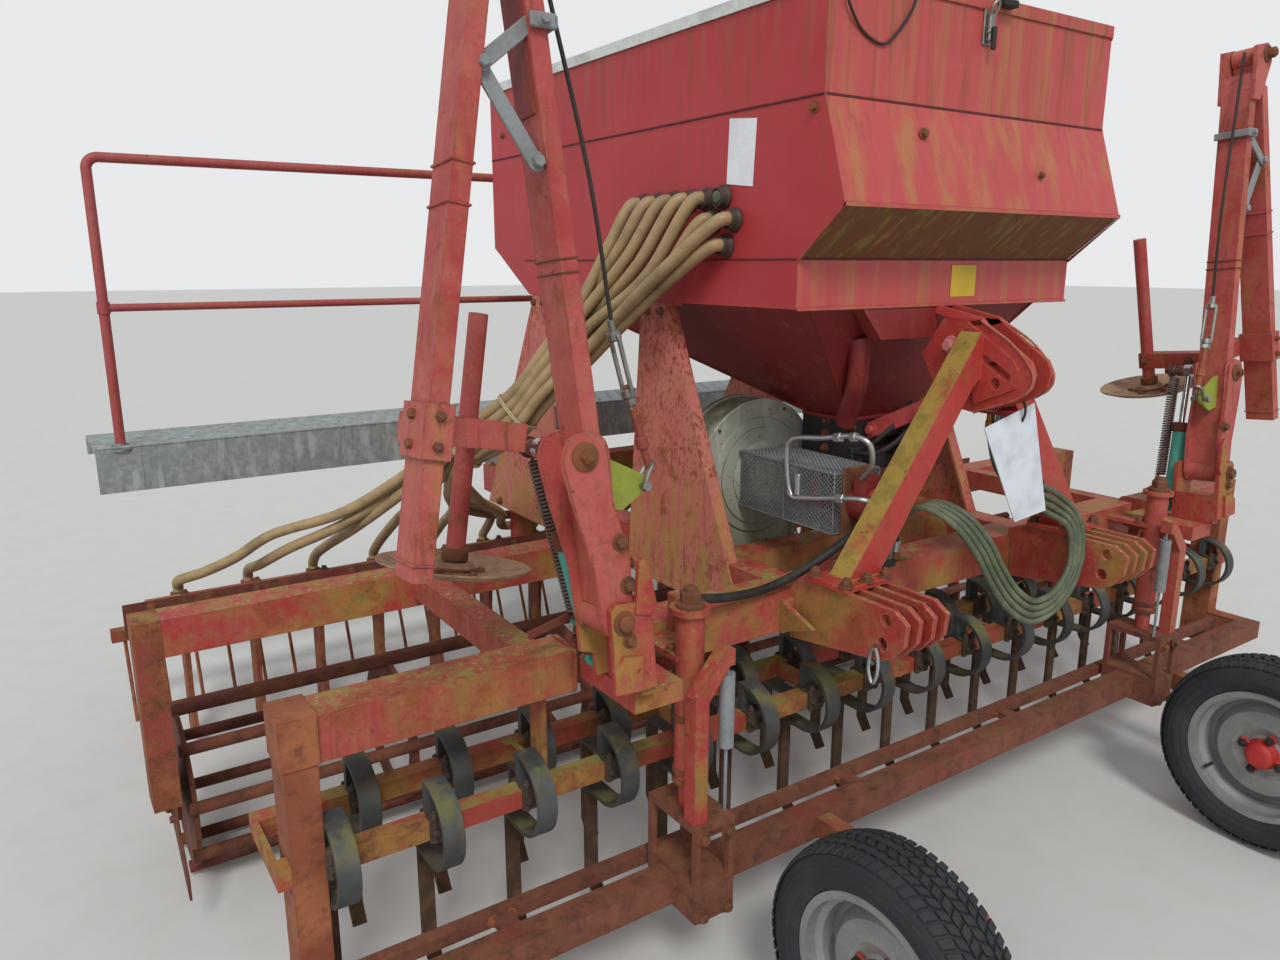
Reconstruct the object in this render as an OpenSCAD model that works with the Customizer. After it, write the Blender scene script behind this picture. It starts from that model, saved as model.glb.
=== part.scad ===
// Mounted air seed drill with two rows of looped spring tines, a cage roller, a bulk
// hopper with its blower, seed hoses, coulters, a following harrow and two folding marker arms.
// Front (tractor side) is -Y, +X is the machine's far side, Z is up and the ground is z = 0.

/* [Frame] */
// Half width to the outside of the end posts
half_w = 1650; // [1620:10:1700]
// Height of the top of the front beam
beam_top = 800; // [770:5:830]
// Side of the square front beam
beam_s = 100; // [80:5:110]
// Distance from the centre line to the middle of a main rail
rail_x = 450; // [430:5:460]
// Height of the levelling beam's top
level_top = 300; // [285:5:330]
// Side of the levelling beam's square tube
level_s = 60; // [50:5:70]

/* [Tines] */
// Number of tines in the front row
tine_n = 17; // [13:2:17]
// Outer radius of a tine's spring loop
loop_r = 88; // [78:1:92]
// Width of a tine's flat band
band_w = 42; // [36:1:44]
// Thickness of a tine's flat band
band_t = 9; // [7:1:12]
// Height of the tine points above the ground
tip_z = 150; // [120:5:180]

/* [Wheels] */
// Radius of a tyre
tyre_r = 264; // [250:2:275]
// Width of a tyre
tyre_w = 145; // [135:5:155]
// Radius of a wheel's bead seat
rim_r = 165; // [160:1:170]
// Distance from the centre line to the middle of a wheel
wheel_x = 742; // [720:2:760]

/* [Roller] */
// Radius of the cage roller
roller_r = 225; // [210:5:230]
// Number of bars round the roller
roller_bars = 9; // [7:1:11]
// Radius of a roller bar
cage_bar_r = 16; // [12:1:18]

/* [Hopper] */
// Half width of the hopper
hop_x = 500; // [490:5:520]
// Height of the hopper's front rim
hop_top = 2138; // [2080:2:2200]
// Thickness of the hopper's sheet
sheet = 4; // [3:0.5:6]

/* [Seed line] */
// Outer radius of a seed hose
hose_r = 17; // [14:1:19]
// Height of the walkway's top
deck_z = 976; // [940:4:1000]
// Height of the handrail's upper bar above the walkway
rail_h = 880; // [800:10:950]

/* [Markers] */
// Width of a marker arm's tube across the machine
arm_w = 34; // [30:1:38]
// Depth of a marker arm's tube along the machine
arm_d = 82; // [74:2:84]
// Length of the outer arm below its fold pin
outer_l = 1118; // [1080:2:1130]
// Radius of a marker disc
disc_r = 150; // [130:5:155]

/* [Hidden] */

$fn = 48;
lap = 1; // overlap of two shapes inside one piece
fit_gap = 0.05; // radial clearance of a pin in its bore
seat_gap = 0.3; // gap between a moving piece and its seat

// Front beam, rails and rear beam
front_y0 = -650;
front_y1 = front_y0 + beam_s;
beam_low = beam_top - beam_s;
beam_end = 985;
rail_w = 80;
rail_in = rail_x - rail_w / 2;
rail_out = rail_x + rail_w / 2;
rail_end = 1060;
rear_y0 = 55;
rear_y1 = 145;
rear_top = beam_top - 35;
rear_low = rear_top - 90;
rear_half = half_w + 90;
feed_y = -350;

// Wings and end posts
wing_y0 = -655;
wing_y1 = -565;
wing_top = beam_top - 10;
wing_in = 1080;
post_w = 60;
post_in = half_w - post_w;

// Levelling beam and its adjusters
level_y0 = -807;
level_y1 = level_y0 + level_s;
level_low = level_top - level_s;
tie_y0 = -690;
tie_y1 = -662;
pivot_x = 1098;
adjust_x = pivot_x - 218;
box_x0 = adjust_x - 54;
box_x1 = adjust_x + 46;
box_y0 = -872;
box_y1 = -702;
box_low = level_low - 15;
box_top = level_top + 145;
box_wall = 14;
adjust_y = -782;

// Hitch
hitch_y = -940;
hitch_z = beam_top + 15;
hitch_r = 14.5;
hitch_drop = 55;
plate_xs = [345, 385, 430, 470];
plate_t = 12;
pad_z = hitch_z + 27;
pad_t = 12;
head_y = -770;
head_z = beam_top + 530;
head_in = 26;
head_out = 38;
head_pad_t = 6;
link_r = 13;
link_y = head_y - 72;
link_z = head_z - 54;
slot_l = 70;
slot_lean = 30;

// Tines
edge_gap = 82; // from the outside of a post to the middle of the outermost tine
tine_pitch = 2 * (half_w - edge_gap) / (tine_n - 1);
front_bar_y = -632;
rear_bar_y = -450;
bar_z = 495;
bar_s = 40;
bar_half = half_w + 15;
link_xs = [1.75, 3.75, 5.75];
link_t = 14;

// Wheels
wheel_y = -1222;
axle_r = 20;
bead_w = 53;
lip_w = 58;
lip_r = rim_r + 12;
wheel_arm_x = 240;

// Roller
roller_y = 300;
roller_pin = 20;
roller_end = rear_half - 15;
roller_gap = 20;

// Hopper side profile
side_top = hop_top - 20;
hop_front = -712;
hop_rear = 870;
seam_z = 1890;
lip_y = -784;
lip_z = 1667;
skirt_y = -650;
skirt_z = 1560;
skirt_low = 1450;
hop_base = 620;
rear_knee_z = 1600;
flange_w = 80;
hinge_y = 888;
hinge_z = side_top + 8;
leg_t = 8;

// Seed line
funnel_x = 120;
funnel_y0 = -460;
funnel_y1 = -300;
funnel_low = 1150;
fan_x = -268;
fan_y = -275;
fan_z = 980;
fan_r = 205;
fan_w = 105;
motor_y = -640;
deck_y0 = 1100;
deck_y1 = 1486;
deck_half = half_w + 115;
deck_t = 4;
rail_post_x = deck_half - 75;
rail_bend = 35;
seeder_y0 = 800;
seeder_y1 = 860;
seeder_top = 560;
seeder_low = 500;
coulter_n = 16;
coulter_pitch = 2 * (half_w - 60) / (coulter_n - 1);
socket_y = 1000;
socket_top = 520;
harrow_y = 1250;

// Seed hoses on the near side, as outlet (y, z) on the hopper and points (x, y, z) of the route.
// The last points come from the coulter that the hose feeds; hose 0 feeds the outermost one.
hose_sides = 8;
hose_exits = [[-58, 1699], [-126, 1699], [-194, 1699], [-262, 1699], [-329, 1698],
  [-360, 1648], [-433, 1648], [-405, 1590]];
hose_runs = [
  [[-585, -20, 1600], [-620, 50, 1475], [-720, 125, 1306], [-775, 180, 1205], [-865, 320, 1085],
    [-1030, 520, 900], [-1158, 650, 795], [-1345, 770, 725], [-1440, 830, 655], [-1525, 910, 600]],
  [[-585, -70, 1590], [-595, 75, 1450], [-685, 150, 1288], [-745, 210, 1188], [-835, 350, 1068],
    [-1000, 545, 875], [-1150, 665, 755], [-1290, 770, 675], [-1360, 880, 605]],
  [[-590, -110, 1565], [-630, 45, 1420], [-728, 122, 1268], [-782, 178, 1168], [-868, 322, 1045],
    [-1015, 525, 855], [-1105, 680, 735], [-1155, 850, 640], [-1166, 950, 585]],
  [[-590, -160, 1545], [-600, 70, 1395], [-692, 145, 1250], [-752, 205, 1150], [-842, 352, 1025],
    [-930, 530, 845], [-955, 700, 740], [-955, 880, 630]],
  [[-595, -210, 1520], [-634, 42, 1366], [-732, 120, 1228], [-786, 176, 1130], [-868, 324, 1003],
    [-860, 500, 860], [-770, 690, 745], [-742, 880, 640]],
  [[-580, -230, 1500], [-604, 66, 1341], [-696, 142, 1210], [-756, 202, 1110], [-868, 440, 930],
    [-760, 640, 790], [-600, 800, 700], [-540, 900, 630]],
  [[-600, -290, 1535], [-640, 36, 1310], [-735, 118, 1188], [-788, 176, 1092], [-870, 430, 930],
    [-800, 620, 790], [-640, 800, 690], [-500, 885, 640], [-380, 940, 610]],
  [[-570, -290, 1520], [-596, -60, 1370], [-608, 62, 1285], [-698, 140, 1168], [-756, 202, 1070],
    [-850, 400, 940], [-720, 600, 790], [-560, 770, 680], [-500, 882, 600], [-400, 900, 590],
    [-250, 930, 590], [-130, 960, 585]]];

// Markers, in a plane that leans back from the pivot
pivot_y = -808;
pivot_z = beam_top + 119;
tilt = 5;
fold = [-146, 1232];
inner_lean = 4.9;
outer_lean = 10.7;
inner_l = fold[1] - 52;
pin_r = 12;
cheek_t = 10;
ram_y = 91;
ram_r = 21;
ram_pin_r = 10;
ram_low = [30, -112];
ram_top = [-58, 307];
ram_l = sqrt(pow(ram_top[0] - ram_low[0], 2) + pow(ram_top[1] - ram_low[1], 2));
ram_lean = atan2(ram_top[0] - ram_low[0], ram_top[1] - ram_low[1]);
spring_y = 133;
spring_r = 16;
wire_r = 3;
spring_low = 82;
spring_turns = 34;
disc_y = 262;
disc_in = 182;
disc_s = outer_l + 41;
clamp_s = outer_l - 243; // where the disc's carrier is clamped on the arm
disc_raise = 174; // how much higher the far disc sits on its spindle
spindle_r = 10;

module block(x0, x1, y0, y1, z0, z1) {
  translate([x0, y0, z0]) cube([x1 - x0, y1 - y0, z1 - z0]);
}

module both() {
  children();
  mirror([1, 0, 0]) children();
}

// Round bar along X between two limits
module rod_x(x0, x1, y, z, r) {
  translate([x0, y, z]) rotate([0, 90, 0]) cylinder(r = r, h = x1 - x0);
}

// Round bar along Y between two limits
module rod_y(y0, y1, x, z, r) {
  translate([x, y0, z]) rotate([-90, 0, 0]) cylinder(r = r, h = y1 - y0);
}

// Plate in the YZ plane between two X limits
module side_plate(x0, x1, points) {
  translate([x0, 0, 0]) rotate([90, 0, 90]) linear_extrude(x1 - x0) polygon(points);
}

// Plate in the XZ plane between two Y limits
module face_plate(y0, y1, points) {
  translate([0, y1, 0]) rotate([90, 0, 0]) linear_extrude(y1 - y0) polygon(points);
}

// Rectangular tube from one point to another in the XZ plane, drawn closed
module arm_xz(a, b, w, y0, y1) {
  dx = b[0] - a[0];
  dz = b[1] - a[1];
  translate([a[0], y0, a[1]]) rotate([0, 90 - atan2(dz, dx), 0])
    translate([-w / 2, 0, 0]) cube([w, y1 - y0, sqrt(dx * dx + dz * dz)]);
}

module main_frame() {
  color("#a8382e") {
    block(-beam_end, beam_end, front_y0, front_y1, beam_low, beam_top);
    block(-rear_half, rear_half, rear_y0, rear_y1, rear_low, rear_top);
    block(-rail_x, rail_x, rail_end - rail_w, rail_end, beam_low, beam_top);
    block(-rail_x, rail_x, feed_y - 40, feed_y + 40, beam_low, beam_top);
    both() block(rail_in, rail_out, front_y1 - lap, rail_end, beam_low, beam_top);
  }
}

module wing_frames() {
  color("#9a4a35") both() {
    difference() {
      union() {
        block(wing_in, post_in + lap, wing_y0, wing_y1, beam_low, wing_top);
        block(post_in, half_w, wing_y0, wing_y1, 190, wing_top);
        block(post_in - 4, half_w + 4, wing_y0 - 4, wing_y1 + 4, beam_low, wing_top + 4);
      }
      block(post_in - 9, half_w + 9, front_bar_y - bar_s / 2, front_bar_y + bar_s / 2,
        bar_z - bar_s / 2, bar_z + bar_s / 2);
    }
    block(post_in, half_w, level_y1, wing_y0 + lap, level_low, level_top);
    block(wing_in + 10, wing_in + 70, wing_y1 - lap, rear_y0, beam_low, rear_top);
    wing_end();
  }
}

// Round-cornered plate that closes the inner end of a wing tube
module wing_end() {
  hull() for (y = [wing_y0 + 14, wing_y1 - 14], z = [beam_low + 14, wing_top - 14])
    rod_x(wing_in - 8, wing_in, y, z, 20, $fn = 24);
}

module hitch_plate() {
  difference() {
    polygon([[front_y0, beam_low - 20], [front_y0, beam_top + 20], [front_y0 - 60, pad_z],
      [-960, pad_z], [-995, hitch_z + 5], [-990, hitch_z - 45], [-960, hitch_z - 80],
      [-930, beam_low + 20]]);
    translate([hitch_y, hitch_z]) circle(r = hitch_r);
    translate([hitch_y + 8, hitch_z - hitch_drop]) circle(r = hitch_r);
  }
}

module hitch_brackets() {
  last_x = plate_xs[3] + plate_t;
  color("#a85a3c") both() {
    for (x = plate_xs)
      translate([x, 0, 0]) rotate([90, 0, 90]) linear_extrude(plate_t) hitch_plate();
    block(plate_xs[0], last_x, front_y0 - plate_t, front_y0, beam_low, beam_top);
    side_plate(last_x + 23, last_x + 35,
      [[front_y0, beam_low], [front_y0, beam_top - 20], [-760, beam_low + 40]]);
    block(last_x - lap, last_x + 35, front_y0 - plate_t, front_y0, beam_low, beam_top - 20);
  }
}

// Side plate of the headstock with its welded pad, its pin hole and its slot
module head_plate() {
  difference() {
    union() {
      side_plate(head_in, head_out, [[-786, head_z + 90], [-925, head_z + 2], [-938, head_z - 28],
        [-930, head_z - 60], [-904, head_z - 83], [-789, head_z - 131], [-690, head_z - 120],
        [-620, head_z], [-680, head_z + 90]]);
      side_plate(head_out - lap, head_out + head_pad_t, [[-752, head_z + 84], [-883, head_z + 4],
        [-900, head_z - 20], [-895, head_z - 62], [-790, head_z - 108], [-726, head_z + 60]]);
    }
    rod_x(head_in - 9, head_out + 9, link_y, link_z, link_r);
    translate([0, link_y, link_z + 35]) rotate([slot_lean, 0, 0]) {
      block(head_in - 9, head_out + 9, -slot_l / 2, slot_l / 2, -10, 10);
      for (y = [-slot_l / 2, slot_l / 2]) rod_x(head_in - 9, head_out + 9, y, 0, 10);
    }
  }
}

module headstock() {
  foot_z = pad_z + pad_t;
  color("#b0543a") {
    both() {
      block(plate_xs[0] - 10, plate_xs[3] + plate_t + 10, head_y - 60, head_y + 60, pad_z, foot_z);
      face_plate(head_y - 30, head_y + 30, [[356, foot_z - lap], [454, foot_z - lap],
        [50, head_z + 62], [head_in, head_z + 40], [head_in, head_z - 30], [70, head_z - 70]]);
      head_plate();
    }
    block(-head_in - lap, head_in + lap, head_y - 30, head_y + 30, head_z - 10, head_z + 30);
  }
}

module levelling_beam() {
  color("#8a4530") {
    block(-half_w, half_w, level_y0, level_y1, level_low, level_top);
    block(-post_in, post_in, tie_y0, tie_y1, level_top - 38, level_top - 10);
    both() for (x = [300, 1250])
      block(x, x + 40, level_y1 - lap, tie_y0 + lap, level_top - 34, level_top - 14);
    both() adjuster_box();
  }
}

// Open box of plates that clasps the levelling beam under each adjuster
module adjuster_box() {
  window_z0 = level_top + 12;
  window_z1 = box_top - 16;
  difference() {
    block(-box_x1, -box_x0, box_y0, box_y1, box_low, box_top);
    block(-box_x1 - 9, -box_x0 + 9, box_y0 + box_wall, box_y1 - box_wall, window_z0, window_z1);
    block(-box_x1 + box_wall, -box_x0 - box_wall, box_y0 - 9, box_y1 + 9, window_z0, window_z1);
  }
}

module adjusters() {
  color("#a8322a") both() {
    translate([-adjust_x, adjust_y, box_top]) cylinder(r = 21, h = 90);
    translate([-adjust_x, adjust_y, box_top + 60]) cylinder(r = 30, h = beam_top + 75 - box_top - 60);
    translate([-adjust_x, adjust_y, beam_top + 70]) cylinder(r = 42, h = 12);
    for (z = [beam_top - 32, beam_low + 8])
      block(-adjust_x - 32, -adjust_x + 32, adjust_y, front_y0, z, z + 12);
    translate([-adjust_x, 0, box_top]) face_plate(box_y0 + 10, box_y0 + 44, [[-44, 0], [-10, 0],
      [-10, 262], [42, 327], [54, 327], [54, 362], [38, 370], [-44, 275]]);
  }
}

// Grey cover of each adjuster's balance spring
module spring_covers() {
  color("#8d9092") both() translate([48 - adjust_x, box_y0 + 27, box_top]) {
    cylinder(r = 4, h = 327);
    translate([0, 0, 145]) cylinder(r = 16, h = 160);
  }
}

module wheel_arms() {
  color("#8a4030") for (s = [-1, 1]) {
    x = s * wheel_x + wheel_arm_x;
    rod_x(s * wheel_x - 18, x, wheel_y, tyre_r, axle_r);
    side_plate(x - 20, x + 20, [[level_y0, level_top - 5], [level_y0, level_low + 5],
      [wheel_y - 20, tyre_r - 35], [wheel_y - 40, tyre_r], [wheel_y - 20, tyre_r + 35]]);
  }
}

// Tyre turned about the X axis
module tyre() {
  half = tyre_w / 2;
  side = [[rim_r, -bead_w], [lip_r, -bead_w], [lip_r, -lip_w], [lip_r + 8, -half + 6],
    [lip_r + 36, -half], [tyre_r - 26, -half + 8], [tyre_r - 6, -half + 22], [tyre_r, -half + 42]];
  rotate([0, 90, 0]) rotate_extrude($fn = 96)
    polygon(concat(side, [for (i = [len(side) - 1 : -1 : 0]) [side[i][0], -side[i][1]]]));
}

// Pressed wheel with its hub, turned about the X axis, face towards -X
module rim() {
  well_r = rim_r - 13;
  rotate([0, 90, 0]) rotate_extrude($fn = 96) {
    polygon([[lip_r, -lip_w], [lip_r, -bead_w], [rim_r, -bead_w], [rim_r, -28], [well_r, -20],
      [well_r, 16], [rim_r, 24], [rim_r, bead_w], [lip_r, bead_w], [lip_r, lip_w],
      [rim_r - 4, lip_w], [rim_r - 4, 27], [well_r - 4, 19], [well_r - 4, -23],
      [rim_r - 4, -31], [rim_r - 4, -lip_w]]);
    polygon([[well_r - 3, 8], [well_r - 3, 14], [130, 6], [112, -17], [74, -22], [50, -10],
      [50, 54], [axle_r + fit_gap, 54], [axle_r + fit_gap, -20], [0, -20], [0, -56], [26, -56],
      [34, -48], [38, -24], [50, -18], [74, -28], [114, -23], [134, 1]]);
  }
}

module tyre_near() {
  color("#2f3238") translate([-wheel_x, wheel_y, tyre_r]) tyre();
}

module tyre_far() {
  color("#2f3238") translate([wheel_x, wheel_y, tyre_r]) tyre();
}

module rim_near() {
  color("#a9aca8") translate([-wheel_x, wheel_y, tyre_r]) rim();
}

module rim_far() {
  color("#a9aca8") translate([wheel_x, wheel_y, tyre_r]) rim();
}

module tine_bars() {
  bar_top = bar_z + bar_s / 2;
  bar_low = bar_z - bar_s / 2;
  color("#a06a3a") {
    for (y = [front_bar_y, rear_bar_y])
      block(-bar_half, bar_half, y - bar_s / 2, y + bar_s / 2, bar_low, bar_top);
    both() {
      block(bar_half, bar_half + 10, front_bar_y - 20, rear_bar_y + 20, bar_low, bar_top);
      for (k = link_xs)
        block(k * tine_pitch - link_t / 2, k * tine_pitch + link_t / 2,
          front_bar_y + bar_s / 2 - lap, rear_bar_y - bar_s / 2 + lap, bar_low, bar_top);
      for (k = [link_xs[1], link_xs[2]])
        block(k * tine_pitch - link_t / 2, k * tine_pitch + link_t / 2,
          front_bar_y + bar_s / 2 - lap, wing_y1, bar_low, beam_low);
    }
  }
}

// Looped spring tine in the YZ plane, about the centre of its bar
module tine() {
  inner = loop_r - band_t;
  rotate([90, 0, 90]) translate([0, 0, -band_w / 2]) linear_extrude(band_w) {
    difference() {
      circle(r = loop_r, $fn = 96);
      circle(r = inner, $fn = 96);
      polygon([[0, -inner], [0, 2 * loop_r], [2 * loop_r, 2 * loop_r], [2 * loop_r, -inner]]);
    }
    translate([-lap, -loop_r]) square([80, band_t]);
    translate([0, bar_s / 2]) square([16, loop_r - bar_s / 2]);
  }
  translate([-15, 78 - lap, tip_z - bar_z + 40])
    cube([30, 12, bar_z - tip_z - 40 - loop_r + band_t]);
  side_plate(-15, 15, [[77, tip_z - bar_z + 40 + lap], [89, tip_z - bar_z + 40 + lap],
    [62, tip_z - bar_z], [54, tip_z - bar_z + 4]]);
}

module tines_front() {
  color("#5d605f") for (i = [0 : tine_n - 1])
    translate([(i - (tine_n - 1) / 2) * tine_pitch, front_bar_y, bar_z]) tine();
}

module tines_rear() {
  color("#5d605f") for (i = [0 : tine_n - 2])
    translate([(i - (tine_n - 2) / 2) * tine_pitch, rear_bar_y, bar_z]) tine();
}

module roller_hangers() {
  color("#7d3f2c") {
    both() {
      block(rear_half, rear_half + 60, rear_y0, rear_y1, 300, rear_top);
      side_plate(rear_half, rear_half + 12, [[rear_y0 + 15, 300 + lap], [rear_y1 - 15, 420],
        [roller_y + 32, roller_r + 34], [roller_y + 34, roller_r - 30],
        [roller_y - 30, roller_r - 36], [100, 240]]);
      rod_x(roller_end - 24, rear_half + lap, roller_y, roller_r, roller_pin);
    }
    side_plate(-10, 10, [[70, rear_low], [130, rear_low], [roller_y + 40, roller_r + 45],
      [roller_y + 40, roller_r - 35], [roller_y - 35, roller_r - 35]]);
    rod_x(-roller_gap - 24, roller_gap + 24, roller_y, roller_r, roller_pin);
  }
}

// One half of the cage roller, from near the middle to the outer end
module roller(x0, x1) {
  rings = 3;
  ring_t = 12;
  for (i = [0 : roller_bars - 1])
    rotate([i * 360 / roller_bars, 0, 0])
      rod_x(x0, x1, 0, roller_r - cage_bar_r, cage_bar_r, $fn = 24);
  for (t = [0 : rings]) {
    x = x0 + 10 + t * (x1 - x0 - 20 - ring_t) / rings;
    hole = t == 0 || t == rings ? roller_pin + fit_gap : roller_r - 70;
    translate([x, 0, 0]) rotate([0, 90, 0]) linear_extrude(ring_t) difference() {
      circle(r = roller_r - cage_bar_r - 2, $fn = 96);
      circle(r = hole);
    }
  }
}

module roller_near() {
  color("#6b3f2c") translate([0, roller_y, roller_r]) roller(-roller_end, -roller_gap);
}

module roller_far() {
  color("#6b3f2c") translate([0, roller_y, roller_r]) roller(roller_gap, roller_end);
}

// Long board behind the roller and the small boards that close its ends
module shields() {
  board_y = 560;
  board_low = beam_low - 140;
  board_half = rear_half + 40;
  color("#5a4238") {
    block(-board_half, board_half, board_y, board_y + 6, board_low, beam_low - 50);
    both() {
      block(rail_in, rail_in + 12, board_y + 6 - lap, board_y + 60, board_low + 40, beam_low);
      side_plate(rear_half + 12, rear_half + 18, [[-40, 110], [-40, 170],
        [rear_y0 - 30, 240], [rear_y0, 300], [rear_y1 + 45, 300], [rear_y1 + 5, 230]]);
    }
  }
}

module hopper_legs() {
  color("#b5473a") both() {
    side_plate(rail_out, rail_out + leg_t, [[-460, beam_low - 30], [-460, beam_low + 20],
      [-150, skirt_low - 10], [-35, skirt_low - 10], [30, beam_low + 20], [30, beam_low - 30]]);
    side_plate(rail_out - 30, rail_out + lap, [[-426, beam_top], [-150, skirt_low - 10],
      [-140, skirt_low - 10], [-416, beam_top]]);
    side_plate(rail_out, rail_out + leg_t, [[430, beam_low - 30], [520, skirt_low - 10],
      [600, skirt_low - 10], [1000, beam_low - 30]]);
    for (y = [[-150, -35], [520, 600]])
      block(rail_in + 30, rail_out + leg_t, y[0], y[1], skirt_low - 10 - lap, skirt_low);
  }
}

// Side view of the hopper, drawn g inside its outer faces
module hopper_side(g) {
  polygon([[hop_front + g, side_top + 2 * g], [hop_front + g, seam_z], [lip_y + g, lip_z + g / 2],
    [skirt_y + g, skirt_z + g], [skirt_y + g, skirt_low - g], [hop_base - g, skirt_low - g],
    [hop_rear - g, rear_knee_z + g], [hop_rear - g, side_top + 2 * g]]);
}

// Ears and pin of one lid hinge
module lid_hinge(x) {
  for (dx = [-24, 16])
    side_plate(x + dx, x + dx + 8, [[hop_rear, hinge_z - 40], [hop_rear, hinge_z - 5],
      [hinge_y - 8, hinge_z + 8], [hinge_y + 10, hinge_z + 4], [hinge_y + 8, hinge_z - 10]]);
  rod_x(x - 24, x + 24, hinge_y, hinge_z, 6);
}

module hopper_body() {
  color("#b8383a") {
    difference() {
      translate([-hop_x, 0, 0]) rotate([90, 0, 90]) linear_extrude(2 * hop_x) hopper_side(0);
      translate([-hop_x + sheet, 0, 0]) rotate([90, 0, 90])
        linear_extrude(2 * (hop_x - sheet)) hopper_side(sheet);
    }
    difference() {
      block(-hop_x + lap, hop_x - lap, skirt_y + lap, hop_base - lap, skirt_low, skirt_low + sheet);
      block(-hop_x + flange_w, hop_x - flange_w, skirt_y + 40, hop_base - 30,
        skirt_low - 5, skirt_low + sheet + 5);
    }
    block(-hop_x, hop_x, hop_front, hop_front + sheet, side_top - lap, hop_top);
    for (x = [-350, 350]) lid_hinge(x);
  }
}

module hopper_lid() {
  base = side_top + seat_gap;
  skirt = hop_x + 6;
  color("#c9ccc8") {
    block(-skirt, skirt, hop_front + sheet + 5, hop_rear, base, base + 5);
    both() block(skirt - 4, skirt, hop_front + sheet + 5, hop_rear, base - 22, base + lap);
    for (x = [-350, 350]) difference() {
      union() {
        rod_x(x - 14, x + 14, hinge_y, hinge_z, 11);
        block(x - 14, x + 14, hop_rear - 10, hinge_y, base, base + 5);
      }
      rod_x(x - 20, x + 20, hinge_y, hinge_z, 6 + fit_gap);
    }
  }
}

// Duct with four sloping sides between two rectangles at different heights
module taper(x0, ya, yb, z0, x1, yc, yd, z1) {
  intersection() {
    face_plate(yc - 9, yd + 9, [[-x0, z0], [x0, z0], [x1, z1], [-x1, z1]]);
    side_plate(-x1 - 9, x1 + 9, [[ya, z0], [yb, z0], [yd, z1], [yc, z1]]);
  }
}

module hopper_funnel() {
  top_x = hop_x - flange_w;
  color("#7d2226") difference() {
    taper(funnel_x, funnel_y0, funnel_y1, funnel_low, top_x, skirt_y + 40, hop_base - 30, skirt_low);
    taper(funnel_x - sheet, funnel_y0 + sheet, funnel_y1 - sheet, funnel_low - lap,
      top_x - sheet, skirt_y + 40 + sheet, hop_base - 30 - sheet, skirt_low + lap);
  }
}

module metering_unit() {
  color("#3b3b3c") {
    block(-funnel_x - 12, funnel_x + 12, funnel_y0 - 10, funnel_y1, 1000, funnel_low);
    block(-60, 60, feed_y - 40, feed_y + 40, beam_top, 1000 + lap);
    rod_y(funnel_y0 - 60, funnel_y0 - 10 + lap, 60, 1075, 44);
  }
}

module fan_housing() {
  color("#b9bab0") {
    rod_y(fan_y, fan_y + fan_w, fan_x, fan_z, fan_r, $fn = 96);
    rod_y(fan_y - 10, fan_y + lap, fan_x, fan_z, fan_r - 70, $fn = 96);
    block(fan_x, fan_x + 130, fan_y, fan_y + fan_w, fan_z - fan_r + 8, fan_z - 120);
    block(-rail_out + 50, -rail_in + 20, fan_y + 12, fan_y + fan_w - 12, beam_top, beam_top + 80);
  }
}

// Cage of expanded mesh round the drive between the blower and its motor
module fan_guard() {
  y0 = motor_y;
  y1 = fan_y - 10;
  color("#8f9494") translate([fan_x, 0, fan_z]) difference() {
    block(-78, 78, y0, y1, -72, 78);
    block(-74, 74, y0 + 4, y1 + 9, -68, 74);
    for (i = [0 : 9], k = [0 : 3])
      block(-90, 90, y0 + 22 + i * 33, y0 + 42 + i * 33, -58 + k * 33, -38 + k * 33);
  }
}

module fan_motor() {
  color("#7a3b30") {
    rod_y(motor_y - 70, motor_y, fan_x, fan_z, 42);
    block(fan_x - 34, fan_x + 34, motor_y - 60, motor_y - 20, fan_z + 20, fan_z + 70);
  }
}

module walkway() {
  lip = 66;
  bracket = 30;
  color("#9aa09e") {
    block(-deck_half, deck_half, deck_y0, deck_y0 + deck_t, deck_z - 131, deck_z + 16);
    block(-deck_half, deck_half, deck_y0, deck_y1, deck_z - deck_t, deck_z);
    block(-deck_half, deck_half, deck_y1 - deck_t, deck_y1, deck_z - lip, deck_z);
    both() {
      block(rail_x - bracket, rail_x + bracket, rail_end, rail_end + 8, beam_low, deck_z - 10);
      block(rail_x - bracket, rail_x + bracket, rail_end, deck_y1 - 46, deck_z - 11, deck_z - deck_t);
    }
  }
}

module handrail() {
  post_y = deck_y0 + 30;
  top = deck_z + rail_h;
  color("#9c2f33") {
    both() {
      translate([rail_post_x, post_y, deck_z]) cylinder(r = 15, h = rail_h - rail_bend);
      translate([rail_post_x - rail_bend, post_y, top - rail_bend]) rotate([-90, 0, 0])
        rotate([0, 0, -90]) rotate_extrude(angle = 90) translate([rail_bend, 0]) circle(r = 15);
      rod_x(-lap, rail_post_x - rail_bend, post_y, top, 15);
      rod_x(-lap, rail_post_x, post_y, deck_z + rail_h / 2, 12);
    }
    translate([0, post_y, deck_z]) cylinder(r = 15, h = rail_h);
  }
}

module coulter_frame() {
  half = half_w + 50;
  color("#8c3a2f") {
    block(-half, half, seeder_y0, seeder_y1, seeder_low, seeder_top);
    both() block(rail_x - 30, rail_x + 30, seeder_y0, seeder_y1, seeder_top - lap, beam_low);
  }
}

// Shank, shoe and seed socket of one coulter
module coulter() {
  shank_y = socket_y - 50;
  side_plate(-8, 8, [[seeder_y1, seeder_top], [seeder_y1, seeder_low], [shank_y - 10, 400],
    [shank_y + 10, 200], [shank_y - 20, 70], [shank_y + 10, 30], [shank_y + 100, 30],
    [shank_y + 90, 140], [shank_y + 80, 440], [shank_y + 35, 475]]);
  translate([0, socket_y, socket_top - 100]) cylinder(r = hose_r + 5, h = 100);
}

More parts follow.
